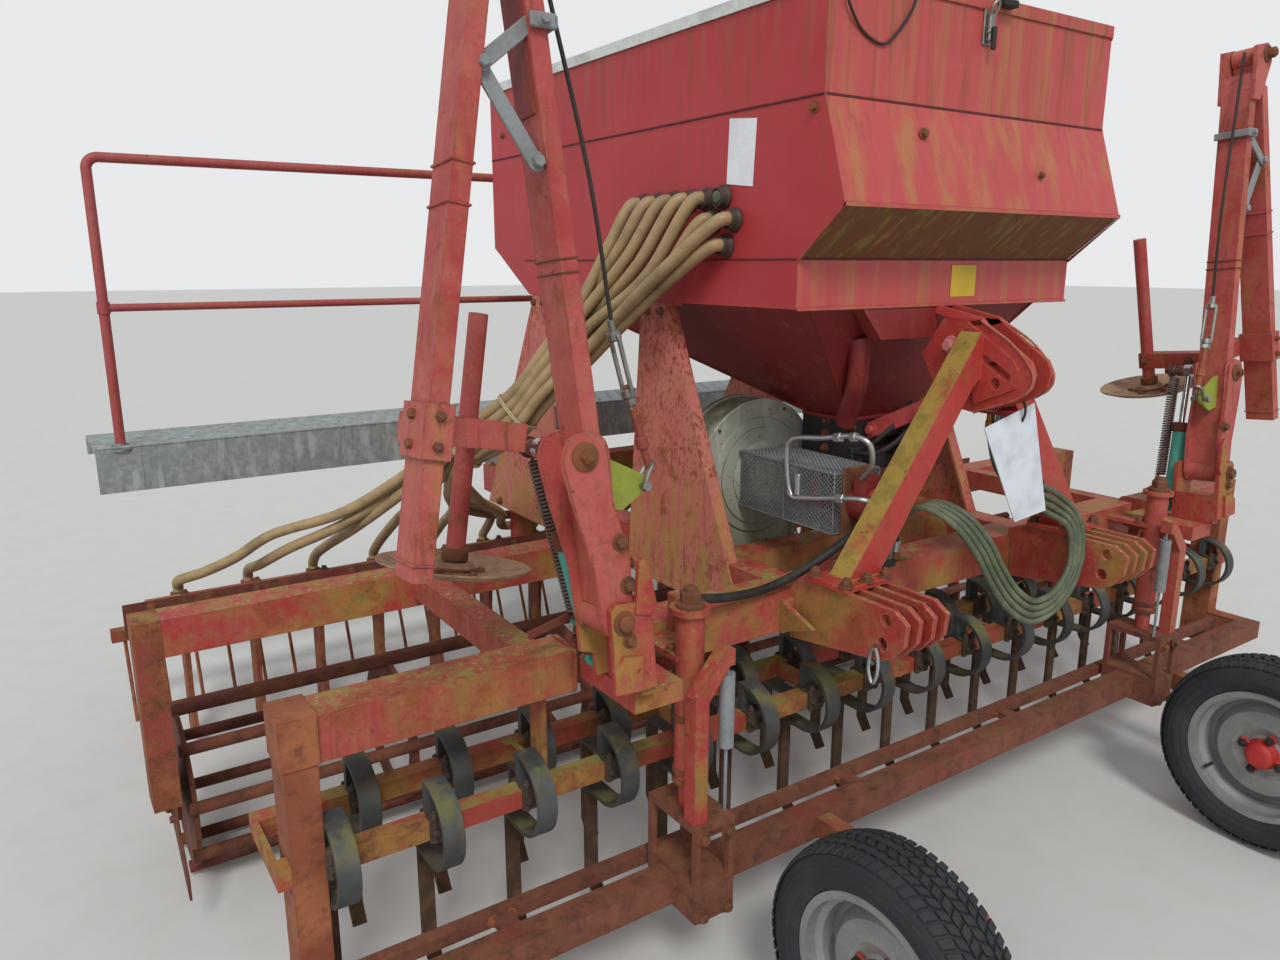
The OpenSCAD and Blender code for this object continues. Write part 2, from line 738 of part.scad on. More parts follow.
module coulters() {
  color("#6a4a3c") for (i = [0 : coulter_n - 1])
    translate([(i - (coulter_n - 1) / 2) * coulter_pitch, 0, 0]) coulter();
}

module harrow() {
  half = half_w + 130;
  tines = 34;
  pitch = 2 * (half - 40) / (tines - 1);
  color("#6b3a2e") {
    block(-half, half, harrow_y, harrow_y + 40, 300, 340);
    both() for (x = [2 * coulter_pitch, 7 * coulter_pitch])
      side_plate(x - 8, x + 8, [[seeder_y1, 545], [seeder_y1, 505], [harrow_y + lap, 302],
        [harrow_y + lap, 338]]);
    for (i = [0 : tines - 1])
      translate([(i - (tines - 1) / 2) * pitch, harrow_y + 20, 305]) rotate([160, 0, 0])
        cylinder(r = 6, h = 285);
  }
}

// Puts a near marker's piece at its pivot, with the arm's plane leaning back
module near_marker() {
  translate([-pivot_x, pivot_y, pivot_z]) rotate([-tilt, 0, 0]) children();
}

module far_marker() {
  mirror([1, 0, 0]) near_marker() children();
}

// Two cheeks with the pivot pin, the ram's lower pin and the seat on the front beam
module marker_bracket() {
  near_marker() {
    face_plate(-68, -56, [[-26, 24], [-14, 36], [60, 30], [66, -135], [34, -135], [-23, -90]]);
    face_plate(56, 66, [[-26, 24], [-14, 36], [60, 30], [66, -135], [10, -135], [8, -90], [-23, -80]]);
    rod_y(-78, 66, 0, 0, pin_r);
    block(36, 66, -57, 57, -150, -60);
    rod_y(66 - lap, ram_y + 14, ram_low[0], ram_low[1], ram_pin_r);
  }
  block(-pivot_x + 34, -beam_end + 32, -860, front_y0, beam_top - 70, beam_top - 28);
}

module marker_brackets() {
  color("#a8322a") both() marker_bracket();
}

module inner_arm() {
  half = arm_d / 2;
  foot = 20;
  from = [-foot * sin(inner_lean), foot * cos(inner_lean)];
  to = [-inner_l * sin(inner_lean), inner_l * cos(inner_lean)];
  difference() {
    union() {
      arm_xz(from, to, arm_w, -half, half);
      rod_y(-half - cheek_t, half + cheek_t, 0, 0, 30);
      for (y = [-half - cheek_t, half]) {
        face_plate(y, y + cheek_t, [[-34, 0], [-24, -24], [0, -34], [24, -24], [34, 0], [30, 110],
          [2, 222], [-8, 330], [-40, 345], [-80, 335], [-92, 300], [-77, 222], [-42, 90]]);
        translate([fold[0], 0, fold[1]]) face_plate(y, y + cheek_t, [[68, -132], [30, -132],
          [-30, -20], [-30, 14], [-4, 32], [62, 18]]);
      }
      rod_y(-half - cheek_t - 8, half + cheek_t + 8, fold[0], fold[1], pin_r);
      rod_y(half + cheek_t - lap, ram_y - 10 - seat_gap, ram_top[0], ram_top[1], ram_pin_r);
    }
    rod_y(-arm_d, arm_d, 0, 0, pin_r + fit_gap);
  }
}

module marker_inner_near() {
  color("#a8322a") near_marker() inner_arm();
}

module marker_inner_far() {
  color("#a8322a") far_marker() inner_arm();
}

// Puts a piece on the folded outer arm, whose tube hangs along -Z from the fold pin
module on_outer() {
  translate([fold[0], 0, fold[1]]) rotate([0, outer_lean, 0]) children();
}

// Folded outer arm with its clamp, the disc's carrier and its spindle
module outer_arm(up) {
  half = arm_d / 2;
  tongue = half - 5;
  on_outer() {
    difference() {
      union() {
        block(-arm_w / 2, arm_w / 2, -tongue, tongue, -90, 0);
        rod_y(-tongue, tongue, 0, 0, 28);
      }
      rod_y(-half, half, 0, 0, pin_r + fit_gap);
    }
    block(-arm_w / 2, arm_w / 2, -half, half, -outer_l, -90 + lap);
    block(-arm_w / 2 - 8, arm_w / 2 + 8, -half - 8, half + 8, -clamp_s - 46, -clamp_s + 43);
    block(-20, disc_in + 20, half + 8 - lap, half + 40, -clamp_s - 25, -clamp_s + 25);
    block(disc_in - 20, disc_in + 20, half + 8 - lap, disc_y + 20, -clamp_s - 25, -clamp_s + 25);
    translate([disc_in, disc_y, -disc_s + 30 + up]) cylinder(r = 19, h = 480);
    translate([disc_in, disc_y, -disc_s + up]) cylinder(r = spindle_r, h = 40);
  }
}

module marker_outer_near() {
  color("#b0543a") near_marker() outer_arm(0);
}

module marker_outer_far() {
  color("#b0543a") far_marker() outer_arm(disc_raise);
}

module marker_disc(up) {
  bore = spindle_r + fit_gap;
  on_outer() translate([disc_in, disc_y, -disc_s - 1 + up]) rotate_extrude($fn = 96)
    polygon([[bore, 0], [40, 0], [disc_r - 30, 10], [disc_r, 22], [disc_r, 26],
      [disc_r - 30, 15], [44, 6], [36, 28], [bore, 28]]);
}

module marker_disc_near() {
  color("#8a6a50") near_marker() marker_disc(0);
}

module marker_disc_far() {
  color("#8a6a50") far_marker() marker_disc(disc_raise);
}

// Places a piece along the ram, from its lower pin towards the arm's pin
module ram_line() {
  translate([ram_low[0], ram_y, ram_low[1]]) rotate([0, ram_lean, 0]) children();
}

module marker_ram() {
  lug_y = spring_y - ram_y;
  ram_line() {
    difference() {
      union() {
        rod_y(-9, 9, 0, 0, 20);
        translate([0, 0, 15]) cylinder(r = ram_r, h = 225);
        translate([0, 0, 235]) cylinder(r = ram_r + 3, h = 26);
      }
      rod_y(-30, 30, 0, 0, ram_pin_r + fit_gap);
      translate([0, 0, 40]) cylinder(r = 9 + fit_gap, h = 300);
    }
    block(-12, 12, ram_r - 4, lug_y + 8, 66, 74);
    rod_y(lug_y - 8, lug_y + 8, 0, spring_low - 8, 5);
  }
}

module marker_rod() {
  ram_line() {
    translate([0, 0, 150]) cylinder(r = 9, h = ram_l - 160);
    rod_y(-10, 10, 0, ram_l, 20);
    rod_y(10 - lap, spring_y - ram_y + 20, 0, ram_l, ram_pin_r);
  }
}

// Close-wound tension spring, drawn as a turned body with one bead for each turn
module marker_spring() {
  foot = spring_low - 3 + seat_gap;
  head = ram_l - ram_pin_r - seat_gap;
  z0 = foot + 12;
  z1 = head - 12;
  pitch = (z1 - z0) / spring_turns;
  beads = [for (i = [0 : spring_turns - 1], k = [0, 1])
    [spring_r - (k == 0 ? wire_r : 0), z0 + (i + k / 2) * pitch]];
  ram_line() translate([0, spring_y - ram_y, 0]) rotate_extrude($fn = 24)
    polygon(concat([[0, head], [0, foot], [wire_r, foot], [wire_r, z0]], beads,
      [[spring_r - wire_r, z1], [wire_r, z1], [wire_r, head]]));
}

module marker_ram_near() {
  color("#4f9a8c") near_marker() marker_ram();
}

module marker_ram_far() {
  color("#4f9a8c") far_marker() marker_ram();
}

module marker_rod_near() {
  color("#b8bcbc") near_marker() marker_rod();
}

module marker_rod_far() {
  color("#b8bcbc") far_marker() marker_rod();
}

module marker_spring_near() {
  color("#4a4744") near_marker() marker_spring();
}

module marker_spring_far() {
  color("#4a4744") far_marker() marker_spring();
}

function unit(v) = v / norm(v);

// Ring of points round p, square to the direction d
function ring(p, d, r) = let (a = unit(cross(d, [0.31, 0.87, 0.41])), b = cross(d, a))
  [for (i = [0 : hose_sides - 1]) p + r * (cos(i * 360 / hose_sides) * a + sin(i * 360 / hose_sides) * b)];

// Closed tube along a list of points
module tube(path, r) {
  n = len(path);
  m = hose_sides;
  rings = [for (i = [0 : n - 1])
    ring(path[i], unit(path[min(i + 1, n - 1)] - path[max(i - 1, 0)]), r)];
  polyhedron([for (q = rings) each q], concat([[for (k = [0 : m - 1]) k]],
    [[for (k = [m - 1 : -1 : 0]) (n - 1) * m + k]],
    [for (i = [0 : n - 2], k = [0 : m - 1])
      [i * m + k, (i + 1) * m + k, (i + 1) * m + (k + 1) % m, i * m + (k + 1) % m]]));
}

// Route of near seed hose i: out of the hopper, through the tie, over the roller, to its coulter
function hose_path(i) = let (e = hose_exits[i], x = (i - 7.5) * coulter_pitch)
  concat([[-hop_x, e[0], e[1]], [-hop_x - 40, e[0], e[1]]], hose_runs[i],
    [[x, socket_y - 25, 565], [x, socket_y, 540], [x, socket_y, socket_top]]);

module hoses_near() {
  color("#b8a67e") for (i = [0 : 7]) tube(hose_path(i), hose_r);
}

module hoses_far() {
  color("#b8a67e") mirror([1, 0, 0]) for (i = [0 : 7]) tube(hose_path(i), hose_r);
}

main_frame();
wing_frames();
hitch_brackets();
headstock();
levelling_beam();
adjusters();
spring_covers();
wheel_arms();
tyre_near();
rim_near();
tyre_far();
rim_far();
tine_bars();
tines_front();
tines_rear();
roller_hangers();
roller_near();
roller_far();
shields();
hopper_legs();
hopper_body();
hopper_lid();
hopper_funnel();
metering_unit();
fan_housing();
fan_guard();
fan_motor();
walkway();
handrail();
coulter_frame();
coulters();
harrow();
marker_brackets();
marker_inner_near();
marker_outer_near();
marker_disc_near();
marker_ram_near();
marker_rod_near();
marker_spring_near();
marker_inner_far();
marker_outer_far();
marker_disc_far();
marker_ram_far();
marker_rod_far();
marker_spring_far();
hoses_near();
hoses_far();
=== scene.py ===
"""Looks of the seed drill: materials, fasteners, hoses, springs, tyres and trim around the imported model."""
import random
from itertools import product
from math import atan2, cos, pi, radians as R, sin
import bmesh
import bpy
from mathutils import Matrix, Vector


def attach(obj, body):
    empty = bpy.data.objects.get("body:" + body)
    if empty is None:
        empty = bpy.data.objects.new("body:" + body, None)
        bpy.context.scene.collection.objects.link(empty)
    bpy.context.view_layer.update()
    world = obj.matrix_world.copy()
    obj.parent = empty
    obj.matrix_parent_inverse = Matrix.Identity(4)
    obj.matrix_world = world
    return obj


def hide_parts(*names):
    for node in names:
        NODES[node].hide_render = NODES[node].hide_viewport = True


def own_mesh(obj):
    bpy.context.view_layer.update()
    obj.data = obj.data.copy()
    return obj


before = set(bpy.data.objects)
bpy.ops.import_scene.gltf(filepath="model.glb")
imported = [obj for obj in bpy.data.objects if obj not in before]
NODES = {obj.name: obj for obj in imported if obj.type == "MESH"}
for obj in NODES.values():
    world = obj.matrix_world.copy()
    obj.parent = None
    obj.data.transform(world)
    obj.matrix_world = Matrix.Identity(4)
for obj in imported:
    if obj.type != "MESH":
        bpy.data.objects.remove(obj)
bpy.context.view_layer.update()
# Directions of the machine: the hitch is in front, and the far side is far in the photo
FRONT, BACK, NEAR, FAR, UP, DOWN = (0, -1, 0), (0, 1, 0), (-1, 0, 0), (1, 0, 0), (0, 0, 1), (0, 0, -1)
# What is drawn for the near side is mirrored for the far one
MIRROR = {"near": Matrix(), "far": Matrix.Scale(-1, 4, FAR)}
MM = 0.001
RNG = random.Random(7)


def rgb(h):
    """Linear colour of a hex code."""
    c = [int(h[i:i + 2], 16) / 255 for i in (1, 3, 5)]
    return tuple(x / 12.92 if x <= 0.04045 else ((x + 0.055) / 1.055) ** 2.4 for x in c) + (1.0,)


def new_object(name, data):
    o = bpy.data.objects.new(name, data)
    bpy.context.scene.collection.objects.link(o)
    return o


# Camera, solved from the photo, and light
PHOTO_W, FOCAL_PX, SENSOR = 1280, 940.07, 36
cam = new_object("camera", bpy.data.cameras.new("camera"))
cam.data.sensor_width = SENSOR
cam.data.lens = FOCAL_PX / PHOTO_W * SENSOR
cam.location = (-1.95, -2.2, 1.55)
cam.rotation_euler = (R(77), 0, R(-33.8))
cam.data.clip_end = 200
bpy.context.scene.camera = cam
bpy.context.scene.view_settings.view_transform = "Standard"

# The sky that lights is dimmer than the one that is seen
world = bpy.data.worlds.new("world")
bpy.context.scene.world = world
world.use_nodes = True
wt = world.node_tree
light, seen = wt.nodes["Background"], wt.nodes.new("ShaderNodeBackground")
for n, colour, strength in ((light, (0.93, 0.96, 1.0, 1), 0.62), (seen, (0.90, 0.91, 0.92, 1), 0.9)):
    n.inputs[0].default_value = colour
    n.inputs[1].default_value = strength
rays, pick = wt.nodes.new("ShaderNodeLightPath"), wt.nodes.new("ShaderNodeMixShader")
wt.links.new(rays.outputs["Is Camera Ray"], pick.inputs[0])
wt.links.new(light.outputs[0], pick.inputs[1])
wt.links.new(seen.outputs[0], pick.inputs[2])
wt.links.new(pick.outputs[0], wt.nodes["World Output"].inputs[0])

for name, energy, turn, spread in (("key", 1.55, (38, -22, 0), 14), ("fill", 0.45, (62, 0, -60), 30)):
    sun = new_object(name, bpy.data.lights.new(name, "SUN"))
    sun.data.energy = energy
    sun.data.angle = R(spread)
    sun.rotation_euler = [R(a) for a in turn]
    sun.location = (0, 0, 5)

# Sockets of the Mix node for each kind of value: first input, second input, output
MIX = {"RGBA": (6, 7, 2), "FLOAT": (2, 3, 0)}


class Mat:
    """Builds one node material; colours are mixed in turn over a base."""

    def __init__(self, name, base, rough, metal=0.0, seed=0):
        self.m = bpy.data.materials.new(name)
        self.m.use_nodes = True
        self.t = self.m.node_tree
        self.b = self.t.nodes["Principled BSDF"]
        self.co = self.add("ShaderNodeTexCoord").outputs["Object"]
        self.normal = self.add("ShaderNodeNewGeometry").outputs["Normal"]
        self.col, self.rough, self.height, self.seed = rgb(base), rough, None, seed
        self.b.inputs["Metallic"].default_value = metal

    def add(self, kind, **inputs):
        n = self.t.nodes.new(kind)
        for k, v in inputs.items():
            self.put(n.inputs[k], v)
        return n

    def put(self, socket, v):
        if isinstance(v, bpy.types.NodeSocket):
            self.t.links.new(v, socket)
        else:
            socket.default_value = v

    def outputs(self, kind, op, a, b):
        n = self.t.nodes.new(kind)
        n.operation = op
        self.put(n.inputs[0], a)
        self.put(n.inputs[1], b)
        return n.outputs

    def math(self, op, a, b=0.0):
        return self.outputs("ShaderNodeMath", op, a, b)[0]

    def vector(self, op, a, b, out="Vector"):
        return self.outputs("ShaderNodeVectorMath", op, a, b)[out]

    def times(self, a, b):
        return self.math("MULTIPLY", a, b)

    def inverse(self, v):
        return self.math("SUBTRACT", 1.0, v)

    def axis(self, vector, letter):
        return self.add("ShaderNodeSeparateXYZ", Vector=vector).outputs[letter]

    def step(self, v, lo, hi):
        """0 below lo, 1 above hi."""
        n = self.add("ShaderNodeMapRange", **{"Value": v, "From Min": lo, "From Max": hi})
        n.interpolation_type = "SMOOTHSTEP"
        return n.outputs[0]

    def noise(self, scale, lo, hi, detail=5.0, stretch=None, rough=0.6, seed=0):
        """Noise as a mask."""
        vec = self.vector("MULTIPLY", self.co, stretch) if stretch else self.co
        seed += self.seed
        if seed:
            vec = self.vector("ADD", vec, (seed, seed * 0.7, -seed))
        n = self.add("ShaderNodeTexNoise", Vector=vec, Scale=scale, Detail=detail, Roughness=rough)
        return self.step(n.outputs[0], lo, hi)

    def runs(self, across, down, lo, hi, **more):
        """Noise drawn out into runs, with its scales across them and down them."""
        return self.noise(1, lo, hi, stretch=(across, across, down), **more)

    def facing(self, way, lo, hi):
        """1 on the faces that look along way."""
        return self.step(self.vector("DOT_PRODUCT", self.normal, way, "Value"), lo, hi)

    def slope(self):
        """1 on the faces that look out to a side and up, as on the headstock's legs."""
        out = self.times(self.math("ABSOLUTE", self.axis(self.normal, "X")), 0.83)
        return self.step(self.math("ADD", out, self.times(self.axis(self.normal, "Z"), 0.56)), 0.88, 0.97)

    def above(self, lo, hi):
        """1 above hi, 0 below lo, in metres."""
        return self.step(self.axis(self.co, "Z"), lo, hi)

    def bevel(self, radius, samples):
        n = self.add("ShaderNodeBevel", Radius=radius)
        n.samples = samples
        return n.outputs[0]

    def edges(self):
        """1 along edges: where a rounded normal leaves the true one."""
        same = self.vector("DOT_PRODUCT", self.bevel(0.005, 3), self.normal, "Value")
        return self.step(self.inverse(same), 0.02, 0.12)

    def mix(self, kind, f, a, b):
        n = self.t.nodes.new("ShaderNodeMix")
        n.data_type = kind
        first, second, out = MIX[kind]
        for socket, v in ((0, f), (first, a), (second, b)):
            self.put(n.inputs[socket], v)
        return n.outputs[out]

    def over(self, mask, colour, amount, rough=None):
        """Lays a colour over the last one, and a roughness where one is given."""
        f = self.times(mask, amount)
        self.col = self.mix("RGBA", f, self.col, rgb(colour))
        if rough is not None:
            self.rough = self.mix("FLOAT", f, self.rough, rough)

    def bump(self, v, k):
        v = self.times(v, k)
        self.height = v if self.height is None else self.math("ADD", self.height, v)

    def done(self, deep, soft=0.0015):
        """The material, with bumps that go deep metres and edges rounded by soft metres."""
        self.put(self.b.inputs["Base Color"], self.col)
        self.put(self.b.inputs["Roughness"], self.rough)
        n = self.add("ShaderNodeBump", Height=self.height, Distance=deep, Strength=0.6)
        if soft:
            self.put(n.inputs["Normal"], self.bevel(soft, 2))
        self.put(self.b.inputs["Normal"], n.outputs[0])
        return self.m


def painted(name, base, faded, rust=0.5, lichen=0.4, wear_and_highlight=0.7, seed=1, streak=0.5, pale=0.5, front=0.0, way=FRONT,
            slope=False, chips=0.0, posts=False, edge="#74432c"):
    """Old paint: fading, dust, lichen on the upper faces, ochre on the front ones, rust in spots, runs, and edges
    that are worn brown, but a painted highlight where a pale edge colour is given.
    """
    m = Mat(name, base, 0.5, seed=seed)
    m.over(m.noise(2.3, 0.35, 0.68), faded, pale, 0.62)
    m.over(m.noise(16, 0.42, 0.75), faded, pale * 0.6)
    m.over(m.noise(60, 0.5, 0.8, detail=3), "#5e1a18", 0.25)
    m.over(m.runs(26, 2.2, 0.52, 0.74, seed=3), "#a8763f", streak * 0.55)
    m.over(m.runs(55, 3.5, 0.57, 0.72, seed=7), "#6d3a26", streak * 0.7, 0.85)
    face = m.math("ADD", m.times(m.facing(UP, 0.2, 0.95), 0.75), 0.25)
    a = m.noise(7, 0.43 - 0.06 * lichen, 0.62, seed=11, detail=8, rough=0.7)
    b = m.noise(38, 0.36, 0.6, seed=13, detail=4)
    m.over(m.times(m.times(a, b), face), "#8c8140", min(1, lichen * 1.3), 0.9)
    m.over(m.times(m.noise(90, 0.6, 0.68, seed=17, detail=3), face), "#b6a46a", lichen * 0.8)
    if front:
        face = m.slope() if slope else m.facing(way, 0.4, 0.9)
        f = m.times(m.noise(3.2, 0.56 - 0.2 * front, 0.7 - 0.2 * front, seed=41, detail=8, rough=0.66), face)
        m.over(f, "#9c8038", min(1, front + 0.15), 0.9)
        m.over(m.times(f, m.noise(24, 0.45, 0.62, seed=43)), "#7a6a2c", 0.7)
    if chips:
        c = m.runs(95, 48, 0.5, 0.6, seed=47, detail=7, rough=0.72)
        m.over(m.times(c, m.noise(4, 0.36, 0.6, seed=53)), "#7f2423", chips, 0.8)
        low = m.inverse(m.above(0.8, 1.15))
        m.over(m.times(m.runs(34, 6, 0.42, 0.6, seed=59), low), "#a8853f", 0.75, 0.85)
    s = m.noise(11, 0.60 - 0.11 * rust, 0.70 - 0.06 * rust, seed=19, detail=9, rough=0.68)
    m.over(s, "#8c4a28", 0.9, 0.9)
    m.over(m.noise(48, 0.62 - 0.07 * rust, 0.72, seed=23, detail=6, rough=0.7), "#5d3020", 0.85, 0.92)
    m.bump(s, -0.4)
    if posts:
        out = m.step(m.math("ABSOLUTE", m.axis(m.co, "X")), 1.584, 1.588)
        m.over(out, "#85492f", 0.95, 0.88)
        m.over(m.times(out, m.noise(7, 0.4, 0.66, seed=61, detail=8)), "#a5663f", 0.8)
        m.over(m.times(out, m.noise(30, 0.5, 0.7, seed=67, detail=7)), "#5c3020", 0.7)
    # Colour along the edges: rust-brown wear by default, a painted highlight where the edge colour is pale
    m.over(m.times(m.edges(), m.noise(30, 0.36, 0.6, seed=29)), edge, wear_and_highlight, 0.85)
    m.bump(m.noise(55, 0.2, 0.8, seed=31), 0.25)
    m.bump(m.noise(260, 0.3, 0.7, seed=37, detail=2), 0.08)
    return m.done(0.0025)


def rusted(name, base="#7b4127", light="#a4673c", dark="#45291d", seed=1, paint=None, amount=0.3, green=0.0):
    """Bare rusty steel with remains of paint."""
    m = Mat(name, base, 0.88, seed=seed)
    m.over(m.noise(6, 0.38, 0.66, detail=8, rough=0.7), light, 0.8)
    m.over(m.noise(28, 0.45, 0.7, seed=3, detail=7, rough=0.7), dark, 0.75)
    m.over(m.noise(150, 0.5, 0.75, seed=5, detail=3), light, 0.4)
    if paint:
        left = m.noise(5, 0.62 - 0.25 * amount, 0.68 - 0.2 * amount, seed=7, detail=9, rough=0.72)
        m.over(left, paint, 0.85, 0.6)
    if green:
        m.over(m.times(m.noise(9, 0.45, 0.62, seed=9, detail=8), m.facing(UP, 0.1, 0.9)), "#8d8443", green, 0.95)
    m.bump(m.noise(90, 0.25, 0.75, seed=11, detail=6, rough=0.7), 0.5)
    return m.done(0.0025)


def plain(name, base, rough=0.5, metal=0.0, dirt="#4b4437", much=0.35, seed=1, fine=120, soft=0.0012):
    """A clean material with grime and fine grain."""
    m = Mat(name, base, rough, metal, seed)
    m.over(m.noise(9, 0.42, 0.72, detail=7), dirt, much, min(1, rough + 0.25))
    m.over(m.noise(fine, 0.45, 0.8, seed=2, detail=3), dirt, much * 0.6)
    m.bump(m.noise(fine * 1.5, 0.3, 0.7, seed=4, detail=3), 0.2)
    return m.done(0.0012, soft)


def galvanised():
    """Hot-dip zinc: spangle, pale run marks and white rust."""
    m = Mat("galvanised", "#8b9391", 0.52, 0.35)
    v = m.add("ShaderNodeTexVoronoi", Vector=m.co, Scale=70.0)
    m.over(m.step(v.outputs["Color"], 0.2, 0.9), "#a7aeac", 0.5)
    m.over(m.runs(28, 9, 0.48, 0.66, detail=4), "#b5bbb8", 0.65, 0.7)
    m.over(m.runs(60, 5, 0.55, 0.7, detail=4, seed=5), "#71797a", 0.6)
    m.over(m.noise(5, 0.55, 0.7, detail=8, seed=9), "#7d7f6c", 0.55, 0.8)
    m.bump(m.noise(40, 0.3, 0.7), 0.2)
    return m.done(0.002)


def hopper_paint():
    """Red sheet: pale front, ochre and brown runs below the rim, dark olive with brown and ochre runs on the faces
    that look down and to the front.
    """
    m = Mat("hopper_paint", "#a8262d", 0.42)
    m.over(m.noise(2.1, 0.35, 0.7, seed=2), "#b93d42", 0.6, 0.5)
    front = m.facing((0, -1, 0.1), 0.55, 0.95)
    m.over(front, "#c4615c", 0.42)
    run = m.runs(19, 1.3, 0.45, 0.68, seed=5, detail=6)
    m.over(m.times(run, front), "#a97a45", 0.62, 0.7)
    m.over(m.times(m.runs(42, 2.2, 0.5, 0.66, seed=9), m.above(1.5, 2.1)), "#8a4b32", 0.6, 0.75)
    m.over(m.times(m.runs(30, 2, 0.44, 0.7, seed=12), m.above(1.9, 2.1)), "#8f5a3c", 0.5)
    m.over(m.noise(120, 0.66, 0.74, seed=13, detail=3), "#6b1c1e", 0.5)
    below = m.facing((0, -0.62, -0.78), 0.86, 0.97)
    m.over(below, "#5f4c26", 0.88, 0.85)
    m.over(m.times(below, m.noise(1, 0.45, 0.62, stretch=(34, 9, 9), seed=15)), "#7b3c28", 0.6)
    m.over(m.times(below, m.noise(1, 0.5, 0.66, stretch=(60, 12, 12), seed=17)), "#8a7a3c", 0.6)
    e = m.times(m.edges(), m.noise(26, 0.42, 0.62, seed=19))
    m.over(e, "#8d8050", 0.6, 0.8)
    m.bump(m.noise(3.5, 0.2, 0.8, seed=21, detail=2), 0.5)
    m.bump(m.noise(260, 0.3, 0.7, seed=23, detail=2), 0.06)
    return m.done(0.0025)


def tine_steel():
    """Grey spring band with moss; the foot in the ground's reach is brown."""
    m = Mat("tine_steel", "#3f4341", 0.6, 0.2)
    m.over(m.noise(8, 0.4, 0.66, detail=8), "#565b5a", 0.7)
    m.over(m.noise(20, 0.5, 0.68, detail=7, seed=3), "#5c4634", 0.7, 0.85)
    m.over(m.times(m.noise(12, 0.45, 0.6, detail=7, seed=5), m.facing(UP, 0.1, 0.8)), "#737042", 0.8, 0.9)
    foot = m.inverse(m.above(0.36, 0.44))
    m.over(foot, "#46311f", 0.92, 0.88)
    m.over(m.times(foot, m.noise(30, 0.45, 0.7, detail=6, seed=7)), "#6f4b30", 0.8)
    m.bump(m.noise(80, 0.25, 0.75, detail=6, seed=9), 0.4)
    return m.done(0.002)


def fan_paint():
    """Pale blower sheet, dark with moss round its rim."""
    m = Mat("fan_paint", "#a7a99c", 0.6)
    m.over(m.noise(5, 0.4, 0.7, detail=7), "#8b8d78", 0.8)
    m.over(m.runs(30, 5, 0.45, 0.66, seed=3), "#c2c2b6", 0.5)
    m.over(m.inverse(m.above(0.8, 1.06)), "#6c6e50", 0.7, 0.85)
    side = m.inverse(m.facing(FRONT, 0.2, 0.7))
    m.over(m.times(side, m.noise(14, 0.3, 0.55, detail=7, seed=5)), "#5d5e3f", 0.85, 0.9)
    m.over(m.noise(60, 0.6, 0.7, detail=4, seed=7), "#55563f", 0.6)
    m.bump(m.noise(60, 0.3, 0.7, seed=9), 0.3)
    return m.done(0.002)


